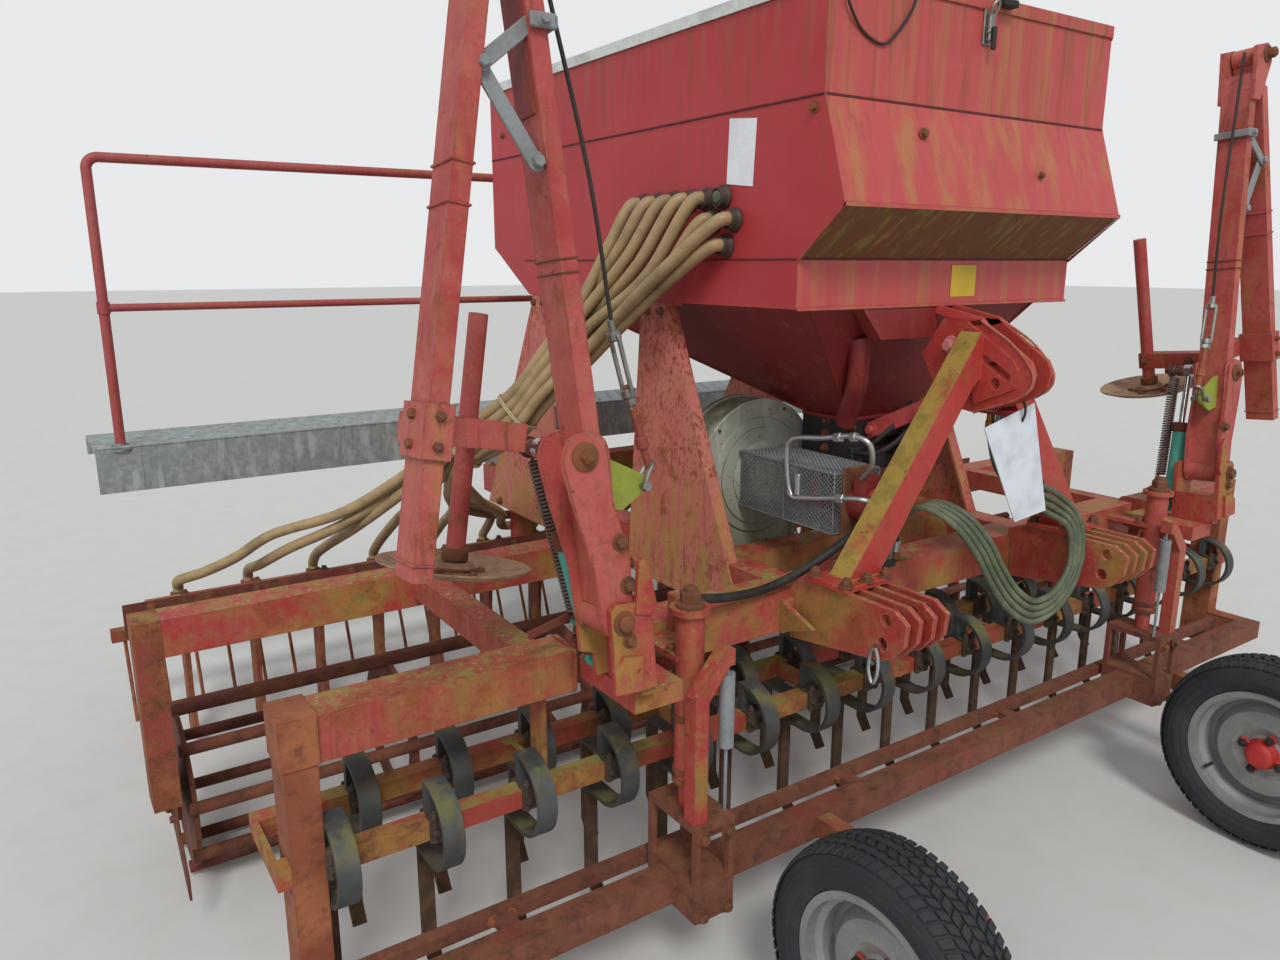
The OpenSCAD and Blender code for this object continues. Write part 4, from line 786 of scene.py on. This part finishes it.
# Marker arms: coil springs, pins, straps, the lift rope with its turnbuckle, clamps and disc bolts
def marker(side):
    at = MIRROR[side] @ MARKER
    new = maker(side, at)
    ram = at @ RAM_LINE
    b = new("marker_coil", "coil", "marker_ram", ram)
    b.helix((0, SPRING_Y, COIL_LOW), UP, 13, 3, 40, COIL_TOP - COIL_LOW)
    foot, head = (ram @ Vector((0, SPRING_Y, z)) * MM for z in (COIL_LOW, COIL_TOP))
    keep = 1 - STROKE / (COIL_TOP - COIL_LOW)
    b.done(replaces=("marker_spring_" + side,),
           squash=("marker_rod_" + side, tuple((head - foot).normalized()), tuple(foot), keep))
    hooks = (("marker_ram", SPRING_FOOT, 8.5, 1, COIL_LOW + 2), ("marker_rod", RAM_L, 13.5, -1, COIL_TOP - 2))
    for body, pin, r, turn, end in hooks:
        b = new(body + "_hook", "coil", body, ram)
        bend = [R(20 * k) for k in range(9, -8, -1)]
        b.sweep([(0, SPRING_Y + 12, end)] + [(r * sin(a), SPRING_Y, pin - turn * r * cos(a)) for a in bend], 3, 7)
        b.done()
    b = new("ram_gland", "rust_dark", "marker_ram", ram)
    b.lathe((0, 0, 233), UP, [(0, 21.2), (0, 25), (2, 26), (27, 26), (29.5, 23), (29.5, 9.3)], 24, wrap=True)
    b.lathe((0, 0, 15), UP, [(0, 18), (0, 22), (1, 22.6), (9, 22.6), (10, 21)], 24)
    b.pipe([(-19, 0, 40), (-34, 0, 40), (-42, 0, 48), (-44, 0, 62)], 12, 6.5, 10)
    b.bolt((-44, 0, 62), UP, 15, False, 5)
    b.box((-7, 24, 66), (7, 60, 76), 2)
    b.box((-105, 47, 70), (12, 53, 88), 2)
    b.done()
    b = new("ram_eye", "rust_dark", "marker_rod", ram)
    b.tube((0, 11, RAM_L), (0, 32, RAM_L), 17, 6.5, 22)
    b.lathe((0, 52, RAM_L), BACK, [(0, 10.2), (0, 21), (4, 21), (5, 19), (5, 10.2)], 22, wrap=True)
    b.bolt((0, 61, RAM_L), BACK, 19, False)
    b.done()

    b = new("arm_bolts", "bolt", "marker_inner")
    b.lathe((-50, -51, 303), FRONT, [(0, 0), (0, 26), (3, 26), (5, 23), (5, 0)], 26)
    b.bolt((-50, -56, 303), FRONT, 22, False, 4)
    b.bolt((11, -51, 143), FRONT, 19)
    b.bolt((23, -51, 62), FRONT, 19)
    for end in (-1, 1):
        b.lathe((-146, 51 * end, 1232), (0, end, 0), [(0, 12.2), (0, 25), (3, 25), (4.5, 23), (4.5, 12.2)], 26,
                wrap=True)
        b.bolt((-146, 59 * end, 1232), (0, end, 0), 27, False, 3)
        b.lathe((-50, 51 * end, 303), (0, end, 0), [(0, 0), (0, 20), (3, 20), (3, 0)], 22)
    for z in (617, 640):
        b.sweep([ARM_LINE @ Vector((x, y, z)) for x, y in BAND], 1.8, 6, loop=True)
    b.done()
    b = new("arm_welds", "arm", "marker_inner")
    for end in (-1, 1):
        y = 43 * end
        b.weld([(4, y, 222), (-6, y, 326), (-38, y, 342), (-76, y, 332), (-90, y, 300), (-76, y, 222)], 3)
        b.weld([(-80, y, 1102), (-88, y, 1246)], 3)
    b.done()
    new("arm_plate", "dark_red", "marker_inner", at @ ARM_LINE).box((-20, -30, 872), (-16.5, 34, 1160), 1).done()

    b = new("lock_strap", "cover", "marker_inner")
    b.box((-14, -3, 0), (14, 3, 172), 1.5, placed((-97, -28, 790), R(-32), "Y"))
    b.box((-13, -3, 0), (13, 3, 118), 1.5, placed((-186, -34, 934), R(52), "Y"))
    b.box((-104, -54, 994), (-56, -46, 1018), 2)
    b.box((-62, -54, 996), (-54, 46, 1016), 2)
    b.bolt((-97, -31, 792), FRONT, 19)
    b.bolt((-184, -36, 936), FRONT, 17)
    b.bolt((-80, -54, 1006), FRONT, 13)
    b.done()
    new("lift_rope", "dark", "marker_inner").pipe([(-84, -16, 1236), (-46, -16, 1051), (11, -16, 770),
            (40, -16, 525)], 30, 4).done()
    b = new("turnbuckle", "steel", "marker_inner")
    top, low = Vector((40, -16, 520)), Vector((70, -16, 388))
    d = (low - top).normalized()
    for e in (-1, 1):
        near, wide = Vector((0, 11 * e, 0)), Vector((0, 14 * e, 0))
        b.sweep([top + d * 12 + near, top + d * 22 + wide, low - d * 22 + wide, low - d * 12 + near], 4.5, 8)
    b.rod(top + d * 6, top + d * 24, 13, 14, 3)
    b.rod(low - d * 24, low - d * 6, 13, 14, 3)
    b.lathe(top - d * 14, d, [(0, 0), (0, 7), (20, 7), (20, 0)], 10)
    b.bolt(low - d * 6, d, 22, False, 8)
    b.done()
    b = new("rope_rod", "rust", "marker_inner")
    b.rod(low - d * 30, (105, -16, 262), 7.5, 12)
    b.rod((88, -16, 322), (94, -16, 300), 12, 14, 2)
    b.done()
    b = new("rope_shackle", "steel", "marker_inner")
    b.pipe([(84, -27, 232), (94, -27, 252), (106, -24, 268), (111, -16, 272), (106, -8, 268), (94, -5, 252),
            (84, -5, 232)], 6, 5)
    b.bolt((84, -32, 232), FRONT, 17, False)
    b.rod((84, -34, 232), (84, 4, 232), 6, 12)
    b.bolt((84, 0, 232), BACK, 17, False)
    b.done()
    new("rope_lug", "lichen_plate", "marker_inner").plate([(-10, 296), (12, 292), (90, 252), (96, 236), (90, 222),
            (40, 193), (-2, 200)], -20, -12, "y").done()

    b = new("bracket_bolts", "bolt")
    b.lathe((0, -68, 0), FRONT, [(0, 12.2), (0, 22), (4, 22), (4, 12.2)], 24, wrap=True)
    b.lathe((0, -76, 0), FRONT, [(0, 0), (0, 15), (5, 15), (7, 12), (7, 0)], 20)
    b.bolt((10, -68, -34), FRONT, 17)
    b.bolt((30, 105, -112), BACK, 22)
    b.done()
    b = new("bracket_ear", "frame")
    b.plate([(24, 12), (60, 2), (70, 24), (58, 96), (46, 112), (36, 106)], -72, -62, "y")
    b.plate([(-30, -128), (30, -132), (34, -66), (-6, -60), (-28, -84)], -76, -66, "y")
    b.done()

    outer = at @ ON_OUTER
    b = new("clamp_bolts", "bolt", "marker_outer", outer)
    for z in (-852, -900):
        b.bolt((0, -49, z), FRONT, 15, False, 3)
        b.bolt((-25, 0, z), NEAR, 15, False)
    b.bolt((202, 262, -875), FAR, 19, False, 6)
    b.bolt((202, 120, -875), FAR, 17)
    b.lathe((182, 262, DISC_Z[side] + 30), UP, [(0, 11), (0, 24), (3, 26), (22, 26), (25, 21), (25, 19.2)], 24)
    b.done()
    b = new("outer_bands", "arm", "marker_outer", outer)
    for z in (-455, -520, -1090):
        b.sweep([(x, y, z) for x, y in BAND], 2.6, 6, loop=True)
    b.done()
    b = new("disc_bolts", "bolt", "marker_disc", outer @ Matrix.Translation((182, 262, DISC_Z[side])))
    for outside, inside in zip(circle(5, 58), circle(5, 30)):
        b.bolt((*outside, 7.5), UP, 13)
        b.bolt((*inside, 0), DOWN, 10, False)
    b.lathe((0, 0, 0), DOWN, [(0, 17), (0, 22), (5, 20), (7, 10), (7, 0)], 20)
    b.lathe((0, 0, 14), UP, [(0, 40), (0, 45), (3, 45), (5, 38)], 24)
    b.done()


for side in MIRROR:
    marker(side)


TINE_PITCH, TINE_ROWS = 196.0, ((-632, 17), (-450, 16))  # each row's y and its number of tines


# Fasteners, welds and caps of the frames; each is drawn on the near side and mirrored
def frame_details(side):
    new = maker(side)
    b = new("frame_bolts", "bolt")
    b.bolts((-845, -908), [-872], (240, 418), FRONT, 19)
    for z in (720, 780):
        for x in (-860, -900):
            b.bolt((x, -746, z), UP, 17, True, 4)
    b.lathe((-880, -782, 882), UP, [(0, 0), (0, 30), (8, 30), (10, 27), (10, 15), (40, 15), (42, 12), (42, 0)], 24)
    b.bolt((-880, -782, 892), UP, 38, False)
    for z in (498, 520, 640):
        b.lathe((-880, -782, z), UP, [(0, 21), (0, 33), (2, 34), (10, 34), (12, 33), (12, 21)], 28, wrap=True)
    b.bolts((-352, -413, -478), (-818, -722), [854], UP, 21, True, 5)
    for x in (-470, -430):
        b.bolts([x], (20, 1020), [800], UP, 17)
        b.bolts([x], [1068], (720, 940), BACK, 17)
    b.bolts([-498], (-450, -400, -60, 10, 450, 900), [690], NEAR, 17)
    b.bolts([-498], (-130, -70, 530, 590), [1425], NEAR, 15)
    b.done()

    b = new("frame_welds", "frame")
    for x in (-410, -490):
        for y, z in ((-549, 800), (54, 765), (146, 765)):
            b.weld([(x, y, z), (x, y, 702)], 4)
    for x in (-345, -357, -385, -397, -430, -442, -470, -482):
        b.weld([(x, -663, 702), (x, -663, 798)], 2.6)
    for y in (-800, -740):
        b.weld([(-356, y, 855), (-454, y, 855)], 4)
    for x in (-356, -454):
        b.weld([(x, -800, 855), (x, -740, 855)], 4)
    b.weld([(-1066, -650, 730), (-985, -650, 730)], 3)
    b.done()
    b = new("wing_welds", "wing")
    b.weld([(-1589, -656, 702), (-1589, -656, 788)], 4)
    b.weld([(-1591, -656, 301), (-1649, -656, 301)], 3.5)
    b.weld([(-1591, -748, 301), (-1591, -656, 301)], 3)
    b.box((-1646, -651, 182), (-1594, -569, 190.5), 2)
    b.done()
    b = new("beam_caps", "rust")
    b.box((-1653.5, -803, 244), (-1649, -751, 296), 1.5)
    b.box((-1743.5, 59, 679), (-1739, 141, 761), 1.5)
    b.bolts((-1250, -1290, -300, -340), [-690], [276], FRONT, 15)
    b.done()

    b = new("tine_clamps", "clamp")
    for i in range(TINE_ROWS[0][1]):
        for y, n in TINE_ROWS:
            x = (i - (n - 1) / 2) * TINE_PITCH
            if i >= n or x > 1 or abs(x) < 1 and side == "far":
                continue
            b.box((x - 25, y - 29, 471), (x + 25, y - 20.3, 519), 2)
            b.box((x - 25, y + 20.3, 471), (x + 25, y + 29, 519), 2)
            b.box((x - 25, y - 29, 515.4), (x + 25, y - 1, 523), 2)
            for dx in (-15, 15):
                b.rod((x + dx, y - 25, 470), (x + dx, y - 25, 524), 6, 8)
                b.bolt((x + dx, y - 25, 523), UP, 15, False, 5)
                b.bolt((x + dx, y - 29, 495), FRONT, 13)
    b.done()
    b = new("roller_bearing", "rust_dark")
    b.lathe((-1752, 300, 225), NEAR, [(0, 0), (0, 58), (8, 58), (11, 50), (11, 34), (18, 32), (20, 26), (20, 0)], 30)
    for y, z in circle(4, 42, 45):
        b.bolt((-1763, 300 + y, 225 + z), NEAR, 13)
    b.done()
    b = new("coulter_bolts", "bolt")
    for i in range(COULTERS // 2):
        x = coulter_x(i)
        b.bolts([x], (802, 858), [560], UP, 15)
        b.box((x - 14, 799, 559), (x + 14, 861, 562), 1)
        b.bolts([x - 8], [1005], (440, 410), NEAR, 13)
        b.tube((x, 1000, 500), (x, 1000, 521), 24.5, 3, 20)
    for x in (-1484, -424):
        b.bolt((x - 8, 880, 520), NEAR, 17)
        b.bolt((x - 8, 1235, 322), NEAR, 17)
    b.done()
    b = new("shield_bolts", "bolt")
    b.bolts(range(-60, -1711, -275), [560], [635], FRONT, 15)
    b.bolts([-1758], (75, 125), [262], NEAR, 15)
    b.done()


for side in MIRROR:
    frame_details(side)


TEETH = 28  # of the metering drive's wheel


# Hopper: seams, drawn as dark strips that are partly the joints and partly painted shadow under the lips where the
# parts meet, bolts, latch, blank sheets, rim wire, the box and pipe under it and the metering drive
def hopper():
    # Dark strips along the seams: the joints, and painted shadow under the lip of the upper part
    b = Batch("hopper_seams_and_lip_shadows", "seam")
    for s in (-1, 1):
        b.box((s * HOP_X - 2.4, -710, 1885), (s * HOP_X + 2.4, 868, 1890), 0.8)
        b.box((s * HOP_X - 2.4, -648, 1556), (s * HOP_X + 2.4, 640, 1560), 0.8)
    b.box((-498, -714.6, 1884), (498, -711, 1890), 0.8)
    b.box((-498, -652.6, 1556), (498, -648, 1562), 1)
    b.box((-498, 869, 1884), (498, 872.4, 1890), 0.8)
    b.done()
    b = Batch("hopper_flanges", "hopper")
    for s in (-1, 1):
        b.plate([(-784, 1664), (-778, 1660), (-648, 1556), (-652, 1552)], s * HOP_X - 3, s * HOP_X + 3)
        b.box((s * 499 - 3, -714, 2104), (s * 499 + 3, 868, 2117), 1)
    b.box((-HOP_X, -717, 2108), (HOP_X, -711, 2138), 1.5)
    b.plate([(-787, 1663), (-787, 1671), (-783, 1673), (-776, 1663)], -HOP_X, HOP_X)
    b.box((-HOP_X, -656, 1446), (HOP_X, -650, 1453), 1)
    b.plate([(608, 1448.8), (620.4, 1448.8), (690, 1490.6), (688, 1494), (618.5, 1453.4), (608, 1453.4)], -498, 498)
    b.done()
    b = Batch("hopper_bolts", "bolt")
    for s in (-1, 1):
        b.bolt((HOP_X * s, -684, 1864), (s, 0, 0), 15)
        b.bolts([HOP_X * s], (560, 780), [1960], (s, 0, 0), 13)
    b.bolt((-224, -737, 1826), FRONT, 15)
    b.bolt((180, -762, 1756), FRONT, 11)
    b.done()
    b = Batch("hopper_latch", "steel")
    b.box((-18, -717, 2034), (14, -712, 2112), 2)
    b.box((-11, -728, 2040), (7, -717, 2100), 3)
    b.pipe([(-10, -724, 2096), (-12, -734, 2116), (-2, -738, 2124), (8, -734, 2116), (6, -724, 2096)], 5, 3.2)
    b.rod((-16, -724, 2060), (12, -724, 2060), 4, 10)
    b.done()
    b = Batch("latch_lever", "dark")
    b.box((-8, -738, 2022), (4, -728, 2072), 3)
    b.box((24, -741, 2118), (72, -714, 2134), 3)
    b.done()
    Batch("rim_wire", "dark").pipe([(-470, -718, 2112), (-452, -722, 2060), (-409, -716, 2019), (-366, -716, 2000),
            (-336, -716, 1999), (-300, -716, 2026), (-259, -718, 2079), (-250, -720, 2112)], 9, 3).done()
    Batch("blank_sheets", "paper").plate([(-503, 1864), (-408, 1874), (-401, 1730), (-494, 1719)], -501.8,
            -500.6).done()
    Batch("blank_sticker", "yellow").box((14, -651.6, 1468), (108, -650.4, 1545), 0.4).done()
    Batch("funnel_box", "dark_red").plate([(-296, 1450), (-26, 1450), (-14, 1372), (-226, 1372)], -652, -612,
            "y").done()
    Batch("funnel_pipe", "dark_red").pipe([(-214, -566, 1372), (-206, -566, 1330), (-190, -548, 1262),
            (-168, -516, 1212), (-150, -486, 1170), (-140, -470, 1140)], 14, 26, 18).done()
    b = Batch("funnel_ribs", "dark_red")
    for s in (-1, 1):
        b.sweep([(s * 119, -460, 1150), (s * 419, -610, 1449)], 5, 6)
        b.sweep([(s * 119, -300, 1150), (s * 419, 589, 1449)], 5, 6)
    b.box((-134, -474, 1141), (134, -296, 1151), 2)
    b.done()

    b = Batch("metering_drive", "dark")
    teeth = []
    for i in range(TEETH):
        for k, r in ((0, 56), (0.5, 56), (0.55, 64), (0.95, 64)):
            a = 2 * pi * (i + k) / TEETH
            teeth.append((60 + r * cos(a), 1075 + r * sin(a)))
    b.plate(teeth, -534, -524, "y")
    b.lathe((60, -534, 1075), FRONT, [(0, 0), (0, 30), (6, 30), (8, 24), (20, 22), (22, 10), (22, 0)], 24)
    b.lathe((-56, -470, 1040), FRONT, [(0, 0), (0, 34), (4, 38), (10, 38), (14, 30), (44, 28), (46, 10), (46, 0)], 24)
    b.box((-128, -486, 1010), (-8, -470, 1072), 3)
    b.box((-40, -516, 1100), (118, -470, 1138), 3)
    b.pipe([(-118, -486, 1060), (-122, -560, 1070), (-80, -600, 1110), (-20, -590, 1150), (40, -560, 1170),
            (90, -520, 1138)], 12, 7, 10)
    b.pipe([(-98, -486, 1060), (-96, -540, 1100), (-40, -560, 1150), (30, -540, 1190), (80, -500, 1150),
            (96, -480, 1120)], 12, 6, 10)
    b.done()
    b = Batch("metering_bolts", "bolt")
    b.bolts((-118, 118), [-470], (1012, 1030, 1128), FRONT, 15)
    for z in (1020, 1060, 1100, 1135):
        b.bolt((-132, -390, z), NEAR, 15)
        b.bolt((132, -390, z), FAR, 15)
    b.done()


hopper()


# Blower: rim bands, bolts, mesh guard, pipes and the drive's fittings
def blower():
    x, z, r = -268, 980, 205  # the rotor's axis and the housing's radius
    b = Batch("blower_bands", "fan")
    for y in (-277, -183):
        b.lathe((x, y, z), BACK, [(0, r - 3), (0, r + 3.5), (2, r + 6), (14, r + 6), (16, r + 3.5), (16, r - 3)], 96,
                wrap=True)
    b.lathe((x, -275, z), FRONT, [(0, 134), (0, 158), (2, 161), (5, 159), (6, 134)], 72, wrap=True)
    b.lathe((x, -285, z), FRONT, [(0, 60), (0, 96), (3, 98), (6, 92), (6, 60)], 48, wrap=True)
    b.box((-150, -292, 790), (-136, -154, 868), 2)
    b.done()
    b = Batch("blower_bolts", "bolt")
    for dx, dz in circle(5, 196, 64):
        b.bolt((x + dx, -275, z + dz), FRONT, 8, False)
    b.bolts((x - 88, x + 88), (-250, -190), [880], UP, 13, False)
    b.done()
    Batch("blank_label", "yellow").box((x - 58, -276.4, z + 136), (x - 22, -275.2, z + 152), 0.3).done()

    x0, x1, y0, y1, z0, z1 = -345, -191, -639, -286, 909, 1057  # the guard's box
    b = Batch("guard_mesh", "mesh")

    def lattice(place, wide, high, pitch=15.0, rise=0.8):
        """Crossing strips clipped to a wide by high sheet; place maps (u, v) to a point."""
        span = high / rise
        for slope in (1, -1):
            n = int((wide + span) / pitch)
            for i in range(n + 1):
                u = i * pitch - span
                a, c = max(0, -u), min(span, wide - u)
                if c - a < 3:
                    continue
                pts = [(u + t, t * rise if slope > 0 else high - t * rise) for t in (a, c)]
                b.sweep([place(*q) for q in pts], 1.3, 4)

    wide, high, deep = y1 - y0, z1 - z0, x1 - x0
    lattice(lambda u, v: (x0, y0 + u, z0 + v), wide, high)
    lattice(lambda u, v: (x1, y0 + u, z0 + v), wide, high)
    lattice(lambda u, v: (x0 + v, y0 + u, z1), wide, deep)
    lattice(lambda u, v: (x0 + v, y0 + u, z0), wide, deep)
    lattice(lambda u, v: (x0 + u, y0, z0 + v), deep, high)
    hoops = (y0, y0 + 175, y1)
    for xa in (x0, x1):
        for za in (z0, z1):
            b.rod((xa, y0, za), (xa, y1, za), 2.4, 8)
        for ya in hoops:
            b.rod((xa, ya, z0), (xa, ya, z1), 2.4, 8)
    for za in (z0, z1):
        for ya in hoops:
            b.rod((x0, ya, za), (x1, ya, za), 2.4, 8)
    b.done(replaces=("fan_guard",))

    b = Batch("drive_pipes", "silver")
    b.pipe([(-352, -500, 979), (-352, -490, 1000), (-352, -481, 1104), (-352, -500, 1123), (-352, -600, 1141),
            (-350, -712, 1160), (-340, -738, 1146), (-318, -728, 1090), (-306, -690, 1052)], 8, 6.5, 12)
    b.pipe([(-352, -488, 990), (-352, -500, 977), (-352, -560, 984), (-350, -640, 1000), (-346, -722, 1014),
            (-330, -736, 1010), (-300, -716, 1000), (-296, -709, 996)], 8, 6.5, 12)
    for p, q in (((-352, -640, 1148), (-352, -662, 1152)), ((-350, -655, 1003), (-349, -677, 1006)),
                 ((-350, -690, 1156), (-349, -706, 1159))):
        b.rod(p, q, 12, 6, 1.5)
    b.box((-360, -532, 984), (-344, -516, 1040), 3)
    b.done()
    b = Batch("drive_cap", "hub")
    b.lathe((-290, -716, 1012), FRONT, [(0, 0), (0, 19), (2, 21), (20, 21), (26, 16), (28, 0)], 20)
    b.rod((-272, -712, 960), (-272, -736, 960), 15, 18, 3)
    b.done()
    b = Batch("drive_bolts", "bolt")
    for dx, dz in circle(4, 30, 45):
        b.bolt((x + dx, -710, z + dz), FRONT, 12)
    b.box((x - 52, -646, 890), (x + 52, -636, 1070), 3)
    b.box((x - 40, -652, 800), (x + 40, -636, 892), 3)
    b.done()
    b = Batch("frame_stub", "frame")
    b.box((-352, -652, 799), (-312, -604, 850), 2)
    b.box((-118, -640, 799), (-96, -618, 824), 3)
    b.done()


blower()


# Headstock and hitch: bolts, braces, ties, welds, the blank card with its wire, and the shackle
def headstock():
    for side in MIRROR:
        new = maker(side)
        b = new("head_bolts", "pink")
        for y, z in ((-707, 1355), (-754, 1368)):
            b.bolt((-38, y, z), NEAR, 27)
        b.done()
        b = new("head_brace", "brace")
        top, low = Vector((-44, -660, 1198)), Vector((-44, -452, 1102))
        d = (low - top).normalized()
        n = Vector((0, -d.z, d.y)) * 21
        b.plate([tuple(v.yz) for v in (top + n, low + n, low - n, top - n)], -58, -46)
        for y, z in ((-644, 1190), (-486, 1117)):
            b.bolt((-58, y, z), NEAR, 22)
        b.done()
        new("head_tie", "brace").plate([(-800, 1412), (-786, 1424), (-640, 1452), (-622, 1448), (-622, 1436),
                (-700, 1420), (-770, 1404)], -38, -26).done()
        b = new("head_welds", "head")
        b.weld([(-39, -786, 1200), (-39, -904, 1248), (-39, -932, 1272), (-39, -936, 1302), (-39, -884, 1362),
                (-39, -788, 1418)], 3)
        b.weld([(-40, -740, 1395), (-52, -740, 1391)], 3)
        b.done()
    Batch("blank_card", "card").plate([(-88, 1176), (98, 1220), (188, 939), (62, 927)], -856, -853.5, "y").done()
    Batch("card_wire", "dark").pipe([(54, -857, 1180), (46, -868, 1206), (36, -866, 1232), (30, -840, 1252),
            (30, -822, 1246)], 8, 3).done()
    b = Batch("hitch_shackle", "silver")
    x, y, z = -490, -920, 745
    b.pipe([(x, y - 3, z + 4), (x - 2, y - 12, z - 14), (x - 3, y - 13, z - 52), (x - 3, y - 2, z - 76),
            (x - 3, y + 11, z - 52), (x - 2, y + 10, z - 14), (x, y + 1, z + 4)], 5, 4)
    b.done()
    Batch("hitch_bolts", "bolt").rod((-490, -921, 748), (-481, -921, 748), 8, 12).done()


headstock()


# Walkway and handrail fittings
DECK_Z, RAIL_Y, POST_X, BRACKET_X = 976, 1130, 1690, 455


def flange(b, x):
    """Foot of the handrail's post at x."""
    b.lathe((x, RAIL_Y, DECK_Z), UP, [(0, 15.2), (0, 42), (6, 42), (6, 22), (22, 20), (22, 15.2)], 28, wrap=True)


b = Batch("walkway_bolts", "steel")
for s in (-1, 1):
    for x in (BRACKET_X - 15, BRACKET_X + 15):
        b.bolts([s * x], (1120, 1260, 1420), [DECK_Z], UP, 13)
        b.bolts([s * x], [1100], (870, 950), FRONT, 15)
    flange(b, s * POST_X)
    for dx, dy in circle(4, 32, 45):
        b.bolt((s * POST_X + dx, RAIL_Y + dy, DECK_Z + 6), UP, 10)
flange(b, 0)
b.done()
b = Batch("walkway_grip", "zinc")
for i in range(58):
    for j in range(6):
        x, y = -1710 + i * 60 + 30 * (j % 2), 1128 + j * 64
        by_post = y < 1180 and (abs(abs(x) - POST_X) < 50 or abs(x) < 50)
        if by_post or abs(abs(x) - BRACKET_X) < 28:
            continue
        b.lathe((x, y, DECK_Z - 0.2), UP, [(0, 13), (2.6, 10), (2.6, 7), (0.4, 6.4)], 10)
b.box((-1765, 1098, 984), (1765, 1106, 992.5), 2)
b.done()
b = Batch("rail_joints", "rail")
for s in (-1, 1):
    b.tube((s * POST_X, RAIL_Y, 1398), (s * POST_X, RAIL_Y, 1434), 18.5, 3.4, 20)
    for z in (1416, 1856):
        b.tube((s * 18, RAIL_Y, z), (s * 42, RAIL_Y, z), 17.5 if z > 1500 else 14.5, 2.4, 20)
b.done()


# Ties round each bundle of seed hoses, fitted to where the hoses cross the tie's plane
def left_turn(a, b, c):
    return (b[0] - a[0]) * (c[1] - a[1]) > (b[1] - a[1]) * (c[0] - a[0])


def hull(points):
    """Convex hull of points in a plane, in order."""
    points = sorted(points)
    out = []
    for turn in (points, points[::-1]):
        part = []
        for p in turn:
            while len(part) > 1 and not left_turn(part[-2], part[-1], p):
                part.pop()
            part.append(p)
        out += part[:-1]
    return out


def tie(b, centre, along, reach, r=2.6):
    """Twine wound twice round the hoses that pass within reach of centre, where they run along."""
    u, v, w = basis(along)
    centre = Vector(centre)
    points = []
    for i in range(len(HOSE_RUNS)):
        near = min(hose_line(i), key=lambda q: abs((q - centre).dot(w)) + 0.05 * (q - centre).length)
        d = near - centre
        if d.length < reach:
            points += [(d.dot(u) + a, d.dot(v) + c) for a, c in circle(12, HOSE_R + r)]
    ring = [centre + u * a + v * c for a, c in hull(points)]
    b.sweep(ring, r, 7, loop=True)
    b.sweep([p + w * 2.2 * r for p in ring], r, 7, loop=True)


for side in MIRROR:
    b = maker(side)("hose_ties", "twine")
    tie(b, (-768, 190, 1140), (-0.42, 0.55, -0.72), 190)
    tie(b, (-868, 350, 1010), (-0.3, 0.75, -0.6), 200)
    b.done()


floor = new_object("floor", bpy.data.meshes.new("floor"))
bm = bmesh.new()
bmesh.ops.create_grid(bm, x_segments=1, y_segments=1, size=60)
bm.to_mesh(floor.data)
bm.free()
floor.location = (0, 0, -0.0005)
floor.data.materials.append(plain("floor_pale", "#c9c8c4", 0.9, 0, "#bdbcb7", 0.3, 51, 8, 0))
